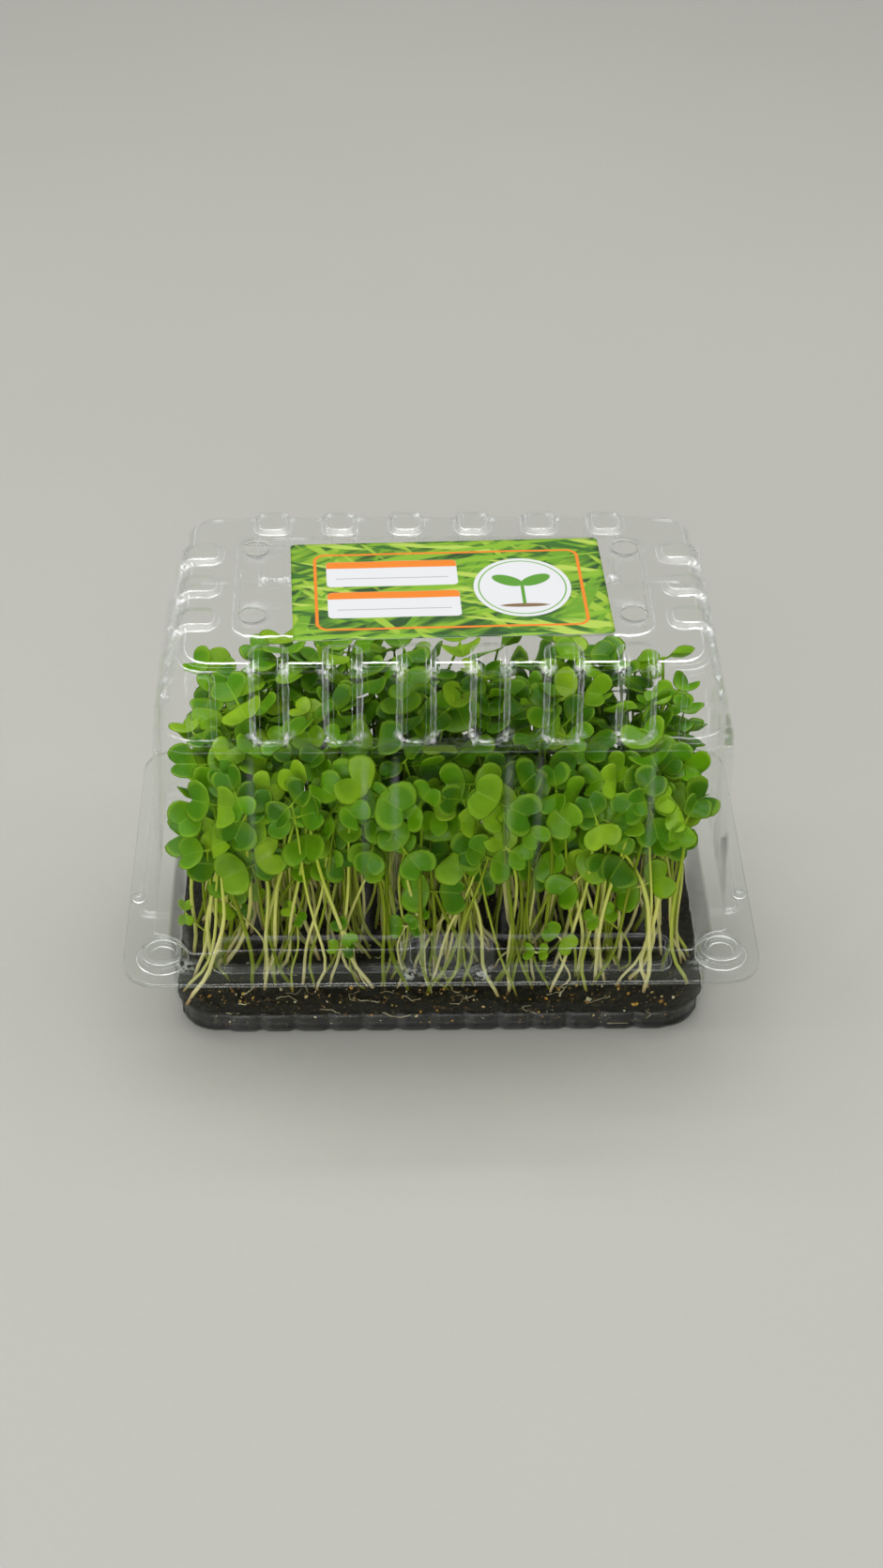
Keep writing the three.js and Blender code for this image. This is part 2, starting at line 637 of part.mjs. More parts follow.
function bunchBody({ centre, seedlings }) {
  const plants = seedlings.flatMap((seedling) => [stemBody(seedling), leafPairBody(seedling)]);
  return join([plugBody(centre), ...plants]);
}

// ---- Growing medium --------------------------------------------------------------------------

function soilBody(bunches) {
  const foot = { halfX: FOOT.halfX, halfY: FOOT.halfY, cutX: 16, cutY: 13, bulge: 0.5 };
  const ledge = FOOT.height + SHEET + SOIL_GAP;
  const body = loft([
    wallRing({ ...foot, z: SHEET + SOIL_GAP }, SHEET + SOIL_GAP),
    wallRing({ ...foot, z: ledge }, SHEET + SOIL_GAP),
    wallRing({ ...TUB_RINGS[0], z: ledge + 0.2 }, SHEET + SOIL_GAP),
    wallRing({ ...TUB_RINGS[0], z: SOIL_Z - 0.7 }, SHEET + SOIL_GAP),
    wallRing({ ...TUB_RINGS[0], z: SOIL_Z }, SHEET + SOIL_GAP + 1.5),
  ]);
  const holes = bunches.map(({ centre }) =>
    turned([[0, PLUG.holeZ], [PLUG.holeRadius, PLUG.holeZ], [PLUG.holeRadius, SOIL_Z + 3],
      [0, SOIL_Z + 3]], 5, centre.x, centre.y));
  return cut(body, holes);
}

// ---- Assembly --------------------------------------------------------------------------------

const plastic = { color: 0xe9eeea, roughness: 0.06, metalness: 0, transparent: true, opacity: 0.3 };
const LOOKS = {
  clear: plastic,
  paper: { color: 0x76b82a, roughness: 0.5, metalness: 0 },
  soil: { color: 0x1c1712, roughness: 0.95, metalness: 0 },
  seedling: { color: 0x5a9a2e, roughness: 0.5, metalness: 0 },
};

const tray = new THREE.Group();

function addPart(group, name, body, look) {
  const mesh = new THREE.Mesh(geometryOf(body), new THREE.MeshStandardMaterial(LOOKS[look]));
  mesh.name = name;
  group.add(mesh);
}

const bunches = growBunches();
const tub = new THREE.Group();
const lid = new THREE.Group();
tray.add(tub, lid);
addPart(tub, "clamshell_base", tubBody(), "clear");
addPart(tub, "growing_medium", soilBody(bunches), "soil");
bunches.forEach((bunch, i) =>
  addPart(tub, `seedlings_${String(i + 1).padStart(2, "0")}`, bunchBody(bunch), "seedling"));
addPart(lid, "clamshell_lid", lidBody(), "clear");
addPart(lid, "label", labelBody(), "paper");

export default tray;
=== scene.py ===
"""A clear hinged clamshell of live broccoli microgreens.

Lengths in this file are in millimetres and turn into metres when a piece is made. The tray stands
on z = 0, its thumb pad points to -Y and its hinge to +Y.
"""
import math

import bpy
import numpy as np
from mathutils import Matrix, Vector
from mathutils.geometry import delaunay_2d_cdt


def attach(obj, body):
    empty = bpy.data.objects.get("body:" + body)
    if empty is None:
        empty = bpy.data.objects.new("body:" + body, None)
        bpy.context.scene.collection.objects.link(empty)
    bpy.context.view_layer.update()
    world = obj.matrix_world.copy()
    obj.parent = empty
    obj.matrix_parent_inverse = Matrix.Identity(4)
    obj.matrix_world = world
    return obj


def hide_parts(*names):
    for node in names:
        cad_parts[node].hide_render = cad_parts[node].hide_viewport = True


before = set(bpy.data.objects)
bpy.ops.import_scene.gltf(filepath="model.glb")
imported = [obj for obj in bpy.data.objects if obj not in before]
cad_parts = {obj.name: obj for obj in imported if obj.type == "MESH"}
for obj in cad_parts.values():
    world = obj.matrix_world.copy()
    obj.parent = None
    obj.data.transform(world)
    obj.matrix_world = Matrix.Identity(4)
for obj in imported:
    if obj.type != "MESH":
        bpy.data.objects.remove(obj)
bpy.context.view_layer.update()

MM = 0.001
SHEET = 0.6  # formed plastic sheet
SKIN = SHEET - 0.05  # the same as drawn, a little less than the solid's
BUTTON_SKIN = 0.35  # the sheet of the small pressed forms, drawn thinner by the pressing
FAR = 4.0  # the mark of a place that has no fold or crease near it
RIM_TOP_TUB = 35.35
RIM_TOP_LID = 36.25
HINGE_Y, HINGE_Z, HINGE_ROLL = 62.15, 35.5, 0.85

# ---- Lines and grids ---------------------------------------------------------------------------


def smoothstep(low, high, value):
    """3t^2 - 2t^3 with t = (value - low) / (high - low) held to 0..1."""
    t = np.clip((value - low) / (high - low), 0, 1)
    return t * t * (3 - 2 * t)


def arc(line):
    """Distance walked along a line of points."""
    return np.concatenate([[0], np.cumsum(np.linalg.norm(np.diff(line, axis=0), axis=1))])


def at(line, where, known=None):
    """The line read at the distances `where`, straight between its points."""
    known = arc(line) if known is None else known
    return np.stack([np.interp(where, known, column) for column in line.T], 1)


def softened(line, step, radius):
    """A Gaussian blur of `radius` along a line with one point each `step`; both ends run on straight."""
    reach = int(math.ceil(3 * radius / step))
    weights = np.exp(-0.5 * (np.arange(-reach, reach + 1) * step / radius) ** 2)
    weights /= weights.sum()
    before = line[0] - (line[1] - line[0]) * np.arange(reach, 0, -1)[:, None]
    after = line[-1] + (line[-1] - line[-2]) * np.arange(1, reach + 1)[:, None]
    longer = np.concatenate([before, line, after])
    return np.stack([np.convolve(column, weights, "valid") for column in longer.T], 1)


def distinct(places, digits, gap):
    """The places in order, rounded, less those within `gap` of the one before."""
    places = np.unique(np.round(places, digits))
    return places[np.concatenate([[True], np.diff(places) > gap])]


NEAR_AN_EDGE = (-1.05, -0.75, -0.3, 0.3, 0.75, 1.05)


def stops(low, high, spacing, edges=()):
    """Places from low to high: a close set round each edge, and the gaps filled at `spacing`."""
    close = [edge + step for edge in edges for step in NEAR_AN_EDGE if low < edge + step < high]
    fixed = distinct([low, high, *close], 3, 0.12)
    counts = np.maximum(1, np.ceil(np.diff(fixed) / spacing)).astype(int)
    runs = [np.linspace(a, b, n, endpoint=False) for a, b, n in zip(fixed[:-1], fixed[1:], counts)]
    return np.concatenate([*runs, [high]])


def round_bends(bends, steps):
    """The place of each bend, and places at the given steps to both sides of it."""
    return [bend + side * step for bend in bends for step in (0, *steps) for side in (-1, 1)]


def circle(sides):
    """Corners of a unit circle, counterclockwise from +X."""
    angle = np.arange(sides) * 2 * math.pi / sides
    return np.stack([np.cos(angle), np.sin(angle)], 1)


def grid_quads(rows, columns, closed=True, first=0):
    """Quads of a grid numbered row by row from `first`; a closed grid joins its last column to its
    first."""
    wide = columns if closed else columns - 1
    r, c = np.meshgrid(np.arange(rows - 1), np.arange(wide), indexing="ij")
    d = (c + 1) % columns
    quads = np.stack([r * columns + c, r * columns + d, (r + 1) * columns + d, (r + 1) * columns + c], -1)
    return quads.reshape(-1, 4) + first


def fan(ring, pole):
    """Triangles from each edge of a ring of indices to one pole."""
    return np.stack([ring, np.roll(ring, -1), np.full(len(ring), pole)], 1)


def noise_field(rows, columns, size, seed):
    """White noise blurred by a Gaussian of `size` cells, scaled to a spread of 1; it wraps at the edges."""
    rng = np.random.default_rng(seed)
    wave = np.fft.rfft2(rng.standard_normal((rows, columns)))
    fy, fx = np.fft.fftfreq(rows)[:, None], np.fft.rfftfreq(columns)[None]
    field = np.fft.irfft2(wave * np.exp(-2 * (math.pi * size) ** 2 * (fx**2 + fy**2)), s=(rows, columns))
    return field / field.std()


# ---- Making pieces -----------------------------------------------------------------------------


def make_piece(name, points, faces, materials, body, *, nodes=(), slot=None, kinds=None, uv=None,
               marks=None, smooth=True):
    """One mesh object at the origin. `faces` is a list of index arrays of one width each, `kinds` the
    material number of each array, `uv` and `marks` values at each point."""
    mesh = bpy.data.meshes.new(name)
    points = np.asarray(points, float).reshape(-1, 3)
    corners = np.concatenate([np.asarray(f).ravel() for f in faces]).astype(np.int32)
    widths = np.concatenate([np.full(len(f), np.asarray(f).shape[1]) for f in faces]).astype(np.int32)
    starts = np.concatenate([[0], np.cumsum(widths)[:-1]]).astype(np.int32)
    mesh.vertices.add(len(points))
    mesh.vertices.foreach_set("co", (points * MM).astype(np.float32).ravel())
    mesh.loops.add(len(corners))
    mesh.loops.foreach_set("vertex_index", corners)
    mesh.polygons.add(len(widths))
    mesh.polygons.foreach_set("loop_start", starts)
    kinds = [0] * len(faces) if kinds is None else kinds
    numbers = np.concatenate([np.full(len(f), k) for f, k in zip(faces, kinds)]).astype(np.int32)
    mesh.polygons.foreach_set("material_index", numbers)
    mesh.polygons.foreach_set("use_smooth", np.full(len(widths), smooth))
    for material in materials:
        mesh.materials.append(material)
    mesh.update(calc_edges=True)
    mesh.validate()
    if uv is not None:
        layer = mesh.uv_layers.new(name="plan")
        layer.uv.foreach_set("vector", np.asarray(uv, np.float32)[corners].ravel())
    for key, values in (marks or {}).items():
        mark = mesh.attributes.new(key, "FLOAT", "POINT")
        mark.data.foreach_set("value", np.asarray(values, np.float32))
    made = bpy.data.objects.new(name, mesh)
    bpy.context.scene.collection.objects.link(made)
    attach(made, body)
    if nodes:
        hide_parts(*nodes)
    return made


def thicken(piece, thickness, under=0):
    """Gives a skin its sheet thickness, added behind the faces. The sheet's edge takes the piece's
    second material; `under` counts on from a face's own material to the one of its other side."""
    wall = piece.modifiers.new("sheet", "SOLIDIFY")
    wall.thickness = thickness * MM
    wall.offset = -1
    wall.use_quality_normals = True
    wall.material_offset_rim, wall.material_offset = 1, under


def join_parts(parts):
    """Several (points, [faces...]) put behind each other, with their indices moved on."""
    points, groups, total = [], [[] for _ in parts[0][1]], 0
    for part_points, part_faces in parts:
        for group, faces in zip(groups, part_faces):
            group.append(np.asarray(faces) + total)
        points.append(part_points)
        total += len(part_points)
    return np.concatenate(points), [np.concatenate(group) for group in groups]


# ---- Materials ---------------------------------------------------------------------------------


def srgb(red, green, blue):
    """Linear colour of an 8-bit screen colour."""
    value = np.array([red, green, blue]) / 255
    linear = np.where(value <= 0.04045, value / 12.92, ((value + 0.055) / 1.055) ** 2.4)
    return (*linear.tolist(), 1.0)


class Recipe:
    """A material being mixed, one shader node at a time."""

    def __init__(self, name):
        self.material = bpy.data.materials.new(name)
        self.material.use_nodes = True
        self.tree = self.material.node_tree
        self.tree.nodes.clear()
        self.out = self.tree.nodes.new("ShaderNodeOutputMaterial")
        self.place = self.node("TexCoord").outputs["Object"]

    def node(self, kind, sockets=None, **settings):
        """A new node with its settings, and each input socket linked or set."""
        made = self.tree.nodes.new("ShaderNode" + kind)
        for key, value in settings.items():
            setattr(made, key, value)
        for key, value in (sockets or {}).items():
            self.feed(made.inputs[key], value)
        return made

    def feed(self, socket, value):
        """Links another node's output to a socket, or sets the socket's own value."""
        if isinstance(value, bpy.types.NodeSocket):
            self.tree.links.new(value, socket)
        else:
            socket.default_value = value

    def math(self, operation, *values, clamp=False):
        """One step of arithmetic; `clamp` holds its result to 0..1."""
        return self.node("Math", dict(enumerate(values)), operation=operation, use_clamp=clamp).outputs[0]

    def ramped(self, value, gain, start):
        """gain x value + start, held to 0..1."""
        return self.math("MULTIPLY_ADD", value, gain, start, clamp=True)

    def far(self, first, second):
        """Length of the line to (first, second): the root of the sum of their squares."""
        squares = [self.math("MULTIPLY", value, value) for value in (first, second)]
        return self.math("SQRT", self.math("ADD", *squares))

    def mark(self, key):
        """The value that the mesh carries at each point under this name."""
        return self.node("Attribute", attribute_name=key).outputs["Fac"]

    def mix(self, share, first, second, blend="MIX"):
        """Colour from first to second."""
        made = self.node("Mix", data_type="RGBA", blend_type=blend)
        for number, value in ((0, share), (6, first), (7, second)):
            self.feed(made.inputs[number], value)
        return made.outputs[2]

    def noise(self, scale, detail=3.0, where=None, roughness=0.55):
        """Noise with lumps of about 1 / scale metres."""
        sockets = {"Vector": where or self.place, "Scale": scale, "Detail": detail, "Roughness": roughness}
        return self.node("TexNoise", sockets).outputs["Fac"]

    def ramp(self, value, *pairs):
        """Colours at places from 0 to 1."""
        made = self.node("ValToRGB", {"Fac": value})
        steps = made.color_ramp.elements
        while len(steps) < len(pairs):
            steps.new(0.5)
        for step, (place, colour) in zip(steps, pairs):
            step.position, step.color = place, colour
        return made.outputs["Color"]

    def bump(self, height, strength, distance):
        """A normal tilted by a height from 0 to 1 over `distance` millimetres."""
        sockets = {"Height": height, "Strength": strength, "Distance": distance * MM}
        return self.node("Bump", sockets).outputs["Normal"]

    def skin(self, colour, roughness, normal, shine=0.5):
        """A plain surface that lets no light through."""
        return self.node("BsdfPrincipled", {"Base Color": colour, "Roughness": roughness,
                                            "Specular IOR Level": shine, "Normal": normal})

    def finish(self, shader):
        """The material, with this shader as its surface."""
        self.tree.links.new(shader.outputs[0], self.out.inputs["Surface"])
        return self.material


def clear_plastic(name, tint, roughness, mirror_share, grazing_share):
    """Clear formed sheet. Light goes straight through but for a mirrored share that grows with
    (1 - cos)^5 towards the silhouette; where the mark `painted_shade` is up, it takes a darker tint of
    painted shade. Painted highlights lie on the bends: fine lamp-lit white lines run along both sides of
    each flank, where the mark `fold` is 0.8 mm from its middle, and along each crease, where `crease` is
    0. `fold_gain` and `crease_gain` are the strengths of these painted lines, `painted_glint` marks the
    painted highlight spots at their ends and `painted_sheen` the faint bands of painted sheen."""
    mix = Recipe(name)

    def line(distance, at_, width):
        """1 on a line at the given distance, 0 further than `width` from it."""
        off = mix.math("ABSOLUTE", mix.math("SUBTRACT", distance, at_))
        return mix.ramped(off, -1 / width, 1.0)

    def brightest(first, *others):
        """The greatest of several values."""
        for other in others:
            first = mix.math("MAXIMUM", first, other)
        return first

    ripples = mix.bump(mix.noise(48.0, 2.0), 0.15, 0.8)
    facing = mix.node("LayerWeight", {"Blend": 0.5, "Normal": ripples}).outputs["Facing"]
    share = mix.ramped(mix.math("POWER", facing, 5.0), grazing_share, mirror_share)
    # Painted shade: the light let through is darkened where the painted-shade mark is up.
    through = mix.node("BsdfTransparent", {"Color": mix.mix(mix.mark("painted_shade"), tint, srgb(70, 70, 56))})
    mirror = mix.node("BsdfGlossy", {"Color": (1, 1, 1, 1), "Roughness": roughness, "Normal": ripples})
    sheet = mix.node("MixShader", {0: share, 1: through.outputs[0], 2: mirror.outputs[0]})

    # Painted highlight: lamp-lit white, a glossy glint and a diffuse sheen (cloud), shaded through a normal
    # tipped upwards so that it catches the lamps above wherever the marks lay it on.
    normal = mix.node("NewGeometry").outputs["Normal"]
    lifted = mix.node("VectorMath", {0: normal, 1: (0, 0, 0.9)}, operation="ADD").outputs[0]
    lifted = mix.node("VectorMath", {0: lifted}, operation="NORMALIZE").outputs[0]
    glint = mix.node("BsdfGlossy", {"Color": (1, 1, 1, 1), "Roughness": 0.3, "Normal": lifted})
    cloud = mix.node("BsdfDiffuse", {"Color": (0.95, 0.97, 0.95, 1), "Normal": lifted})
    bright = mix.node("MixShader", {0: 0.4, 1: glint.outputs[0], 2: cloud.outputs[0]})

    # The painted highlight lines, painted highlight spots and painted sheen bands, summed to the share of the
    # painted highlight.
    wobble = mix.math("MULTIPLY_ADD", mix.noise(260.0, 2.0), 0.9, -0.45)
    fold = mix.math("ADD", mix.mark("fold"), wobble)
    both_sides = line(mix.math("ABSOLUTE", fold), 0.8, 0.17)
    inner_echo = mix.math("MULTIPLY", line(fold, -2.3, 0.15), 0.25)
    glow = mix.math("MULTIPLY", line(fold, 0.0, 1.1), 0.1)
    folds = mix.math("MULTIPLY", brightest(both_sides, inner_echo, glow), mix.mark("fold_gain"))
    crease = line(mix.math("ADD", mix.mark("crease"), wobble), 0.0, 0.3)
    creases = mix.math("MULTIPLY", crease, mix.mark("crease_gain"))
    broken = mix.ramped(mix.noise(170.0, 3.0), 2.6, -0.6)
    glint_sparkle = mix.ramped(mix.noise(640.0, 1.0), 9.0, -4.05)
    knots = mix.math("MULTIPLY", mix.mark("painted_glint"), glint_sparkle)
    lines = brightest(mix.math("MULTIPLY", brightest(folds, creases), broken), knots)
    painted_sheen = mix.math("MULTIPLY", mix.mark("painted_sheen"), mix.ramped(mix.noise(130.0, 3.0), 0.5, 0.02))
    painted_light_share = mix.math("MAXIMUM", mix.math("MULTIPLY", lines, 0.92), painted_sheen, clamp=True)
    return mix.finish(mix.node("MixShader", {0: painted_light_share, 1: sheet.outputs[0], 2: bright.outputs[0]}))


CLEAR = clear_plastic("clear_sheet", (0.992, 0.995, 0.992, 1), 0.03, 0.0015, 0.66)
CLEAR_TUB = clear_plastic("clear_tub_sheet", (0.985, 0.99, 0.985, 1), 0.04, 0.0015, 0.6)
CUT_EDGE = clear_plastic("cut_edge", (0.76, 0.80, 0.72, 1), 0.12, 0.14, 0.6)

# ---- Formed sheet: levels of a wall ------------------------------------------------------------


HALF_X, HALF_Y, HEIGHT = 0, 1, 5  # columns of a level: half x, half y, cut x, cut y, bulge, z
CORNER_SOFT = 1.3


def corner_line(level, straight, count):
    """One corner of a level, from (straight x, -half y) round to (half x, -straight y): a line that
    bulges by 4 b t (1 - t) off the chord of the cut, blurred where it meets the sides."""
    half_x, half_y, cut_x, cut_y, bulge = level[:HEIGHT]
    t = np.linspace(0, 1, 41)[:, None]
    start, end = np.array([half_x - cut_x, -half_y]), np.array([half_x, cut_y - half_y])
    out = np.array([cut_y, -cut_x]) / math.hypot(cut_x, cut_y)
    cut = start + (end - start) * t + out * bulge * 4 * t * (1 - t)
    line = np.concatenate([[[straight[0], -half_y]], cut, [[half_x, -straight[1]]]])
    length, steps = arc(line)[-1], 160
    dense = at(line, np.linspace(0, length, steps + 1))
    soft_line = softened(dense, length / steps, CORNER_SOFT)
    return at(soft_line, np.linspace(0, 1, count + 1) * arc(soft_line)[-1])


def wall_lines(half_x, half_y, corner, spacing, front=(), back=(), side=()):
    """Where the upright lines of a wall stand: along its straight stretches, closer at the given edges,
    with `corner` steps round each corner."""
    return {"straight": (half_x, half_y), "corner": corner,
            "front": stops(-half_x, half_x, spacing, front), "back": stops(-half_x, half_x, spacing, back),
            "side": stops(-half_y, half_y, spacing, side)}


def level_ring(level, lines):
    """A level's closed outline, counterclockwise from the front left: the same lines on every level."""
    half_x, half_y = level[HALF_X], level[HALF_Y]
    turn = corner_line(level, lines["straight"], lines["corner"])[1:-1]
    runs = [
        np.stack([lines["front"], np.full(len(lines["front"]), -half_y)], 1),
        turn,
        np.stack([np.full(len(lines["side"]), half_x), lines["side"]], 1),
        (turn * [1, -1])[::-1],
        np.stack([lines["back"][::-1], np.full(len(lines["back"]), half_y)], 1),
        -turn,
        np.stack([np.full(len(lines["side"]), -half_x), lines["side"][::-1]], 1),
        (turn * [-1, 1])[::-1],
    ]
    return np.concatenate(runs)


def run_of(lines):
    """Which side each line belongs to: 0 front, 1 right, 2 back, 3 left, -1 corner."""
    corner = np.full(lines["corner"] - 1, -1)
    sizes = [len(lines["front"]), len(lines["side"]), len(lines["back"]), len(lines["side"])]
    return np.concatenate([np.append(np.full(n, side), corner) for side, n in enumerate(sizes)])


def walk_of(rows):
    """Distance walked down the outline of a list of rows, at each row."""
    return arc(np.array(rows, float)[:, [HALF_Y, HEIGHT]])


def formed_levels(rows, stations, soft):
    """Levels at the given distances down a list of rows, blurred by `soft` so that each bend is round."""
    known = walk_of(rows)
    step = 0.1
    places = np.arange(0, known[-1] + step, step)
    return at(softened(at(np.array(rows, float), places, known), step, soft), stations, places)


def rings_at(levels, lines):
    """The grid of points of a wall: one ring for each level."""
    count = len(run_of(lines))
    return np.stack([np.column_stack([level_ring(level, lines), np.full(count, level[HEIGHT])])
                     for level in levels])


def outward(points):
    """Unit normals of a ring grid: along the ring, crossed with the way from level to level."""
    across = np.cross(np.roll(points, -1, 1) - np.roll(points, 1, 1), np.gradient(points, axis=0))
    return across / np.linalg.norm(across, axis=-1, keepdims=True)


def to_nearest(walk, places, gains):
    """Signed distance from each place on a walk to the nearest crease, and that crease's gain."""
    away = walk[..., None] - np.array(places)
    nearest = np.abs(away).argmin(-1)
    return np.take_along_axis(away, nearest[..., None], -1)[..., 0], np.array(gains)[nearest]


def box_away(across, along_, half, low, high, corner):
    """Signed distance to a rectangle with round corners, negative inside."""
    qx = np.abs(across) - (half - corner)
    qy = np.abs(along_ - (low + high) / 2) - ((high - low) / 2 - corner)
    return np.hypot(np.maximum(qx, 0), np.maximum(qy, 0)) + np.minimum(np.maximum(qx, qy), 0) - corner


def flank(away, soft):
    """1 inside, 0 outside, over a flank of 2 x soft: two thirds straight ramp, one third rounded."""
    ramp = np.clip((soft - away) / (2 * soft), 0, 1)
    return 0.65 * ramp + 0.35 * smoothstep(soft, -soft, away)


def nearest_on(points, half_x, half_y, corner):
    """Each point moved to the nearest point of a rectangle with round corners."""
    core = np.clip(points, [corner - half_x, corner - half_y], [half_x - corner, half_y - corner])
    way = points - core
    return core + corner * way / np.maximum(np.linalg.norm(way, axis=1, keepdims=True), 1e-9)


BEAD = {"front_corner": 3.0, "side_corner": 2.6, "side_y": 3.5}


def beads_away(x, y, front_y, half_x, reach, half_y, low, high):
    """Signed distance to the flange's stiffening beads: outlines of a box at the front, `reach` deep to
    both sides of front_y, and of one at each side, from `low` to `high` in x."""
    away = box_away(x, y - front_y, half_x, -reach, reach, BEAD["front_corner"])
    for s in (-1, 1):
        side = box_away(y - BEAD["side_y"], s * x, half_y, low, high, BEAD["side_corner"])
        away = np.minimum(away, side)
    return away


HOLE_SIDES = 28
WHOLE_HULL = 0  # the triangulation's own number for filling all of the ring's hull


def flat_fill(ring_points, holes, spacing):
    """Triangles in the hull of a ring with round holes: constrained Delaunay through the ring, the hole
    rims and a loose grid. Returns the added points, rims first, and the triangles, numbered through
    the ring's points and on through the added ones. Where a rim crosses the ring, the crossing has no
    number of its own and the last point stands for it."""
    low, high = ring_points.min(0), ring_points.max(0)
    grid = np.stack(np.meshgrid(np.arange(low[0], high[0], spacing), np.arange(low[1], high[1], spacing)), -1)
    grid = grid.reshape(-1, 2)
    centre = (low + high) / 2
    inside = (np.abs(grid - centre) < (high - low) / 2 - spacing * 0.8).all(1)
    rims = []
    for x, y, radius in holes:
        inside &= np.hypot(grid[:, 0] - x, grid[:, 1] - y) > radius + spacing * 0.45
        rims.append(radius * circle(HOLE_SIDES) + [x, y])
    added = np.concatenate([*rims, grid[inside]])
    everything = np.concatenate([ring_points, added])
    n = len(ring_points)
    edges = [(i, (i + 1) % n) for i in range(n)]
    for start in range(n, n + HOLE_SIDES * len(holes), HOLE_SIDES):
        edges += [(start + i, start + (i + 1) % HOLE_SIDES) for i in range(HOLE_SIDES)]
    filled = delaunay_2d_cdt([Vector(p) for p in everything], edges, [], WHOLE_HULL, 1e-6, True)
    last = len(everything) - 1
    first_of = np.array([numbers[0] if numbers else last for numbers in filled[3]])
    triangles = first_of[np.array(filled[2])]
    middle = everything[triangles].mean(1)
    keep = np.ones(len(triangles), bool)
    for x, y, radius in holes:
        keep &= np.hypot(middle[:, 0] - x, middle[:, 1] - y) > radius * 0.99
    triangles = triangles[keep]
    a, b, c = (everything[triangles[:, k]] for k in range(3))
    turned = (b[:, 0] - a[:, 0]) * (c[:, 1] - a[:, 1]) < (b[:, 1] - a[:, 1]) * (c[:, 0] - a[:, 0])
    triangles[turned] = triangles[turned][:, ::-1]
    return added, triangles


def close_with_flat(points, holes, spacing, z):
    """A ring grid closed at its last ring by a flat fill at height z: all points, the fill's triangles
    and how many points were added."""
    columns = points.shape[1]
    flat = points.reshape(-1, 3)
    first_of_ring = len(flat) - columns
    added, triangles = flat_fill(points[-1, :, :2], holes, spacing)
    flat = np.concatenate([flat, np.column_stack([added, np.full(len(added), z)])])
    return flat, triangles + first_of_ring, len(added)


# ---- Lid ---------------------------------------------------------------------------------------

TOP_Z = 145.5
LID_ROWS = [  # half x, half y, cut x, cut y, bulge, z
    (102.5, 63, 11, 11, 3.2, RIM_TOP_LID),
    (93.55, 48.15, 12, 10, -3, RIM_TOP_LID),
    (92.7, 47.6, 11.5, 9.5, -1, 46),
    (90, 46.4, 10, 8, 1.6, 115),
    (86.4, 44.2, 9, 7.5, 2, 118.5),
    (81.2, 43.5, 8.5, 7.5, 2.2, 143.2),
    (78.8, 41.8, 8, 7, 2, TOP_Z),
    (66.2, 29.4, 2.2, 2.4, 0.6, TOP_Z),
]
RIM, WALL, _, SHOULDER, DOME, DOME_HEAD, TOP_EDGE, TOP_END = range(len(LID_ROWS))
RIB = {"half": 5.2, "foot": 117.6, "proud": 2.0, "top": 1.6, "corner": 3.4, "soft": 0.85}
GLINT_LEVELS = (119.6, 143.2)  # heights of the painted highlight spots on the ribs' folds
WALL_FLUTE = {"proud": 1.0, "half": 6, "flat": 3.2, "low": 42, "high": 114.5}
CORNER_PAD = {"x": 75.0, "shift": 1.2, "half": 3.7, "corner": 1.2, "proud": 0.5, "soft": 0.8}
FACES_FRONT = -0.72  # a normal whose y is below this looks to the front
LID_BEADS = {"front_y": -46.7, "half_x": 73, "reach": 10.3, "half_y": 32.5, "low": 84, "high": 98.4}
THUMB_PAD = {"x": 1.6, "y": -53.4, "half_x": 13.5, "half_y": 6.6, "proud": 1.8}
FLANGE_GLINTS = ((-10.5, -59.3, 1.5, 1.4), (12.6, -59.8, 1.5, 1.4),  # painted highlight spots: x, y, reach, strength
                (-83, -54, 3.2, 0.5), (84, -54, 3.2, 0.5))
FLANGE_MARKS = 4  # the flange's marks run this far up the wall
LID_CREASES = (0.12, 0.24, 0.12, 0.06, 0.06, 1.0)  # strength of the painted highlight line on each bend: rim, wall's foot, shoulder to top edge
TUB_CREASES = (0.2, 0.1, 0.32, 0.12)  # strength of the painted highlight line on each bend: wall's head, ledge, foot's head, foot
PANEL = {"half_x": 65, "half_y": 28.3, "corner": 7, "rise": 1.2}
PANEL_STEP = (  # inset, rise, distance from the step's painted highlight crease
    (0, 0.0, -0.35), (0.25, 0.15, 0.0), (0.45, 0.6, 0.5), (0.7, 1.05, 1.2), (1.1, PANEL["rise"], 1.6),
    (2.4, PANEL["rise"], 3.0))
VENTS = [(sx * 58.8, sy * 19.1 + 1.4, 4.25) for sx, sy in ((-1, -1), (1, -1), (1, 1), (-1, 1))]


def rib_row(count, pitch, shift, end, flutes):
    """The ribs of one side: their middles, how far from the lid's middle they end on the top, and the
    middles of the flutes below them, which are given in pitches."""
    centres = shift + pitch * (np.arange(count) - (count - 1) / 2)
    return {"centres": centres, "end": end, "flutes": shift + pitch * np.array(flutes)}


FRONT = rib_row(6, 22.25, 2.4, 33.2, [-3, -1, 1, 3])
BACK = rib_row(6, 21.5, 0, 30.8, [-3, -1, 1, 3])
SIDE = rib_row(3, 18.6, 0, 69.5, [-0.5, 0.5])


def rib_edges(row):
    """Where the edges of a side's ribs stand."""
    return [centre + side * RIB["half"] for centre in row["centres"] for side in (-1, 1)]


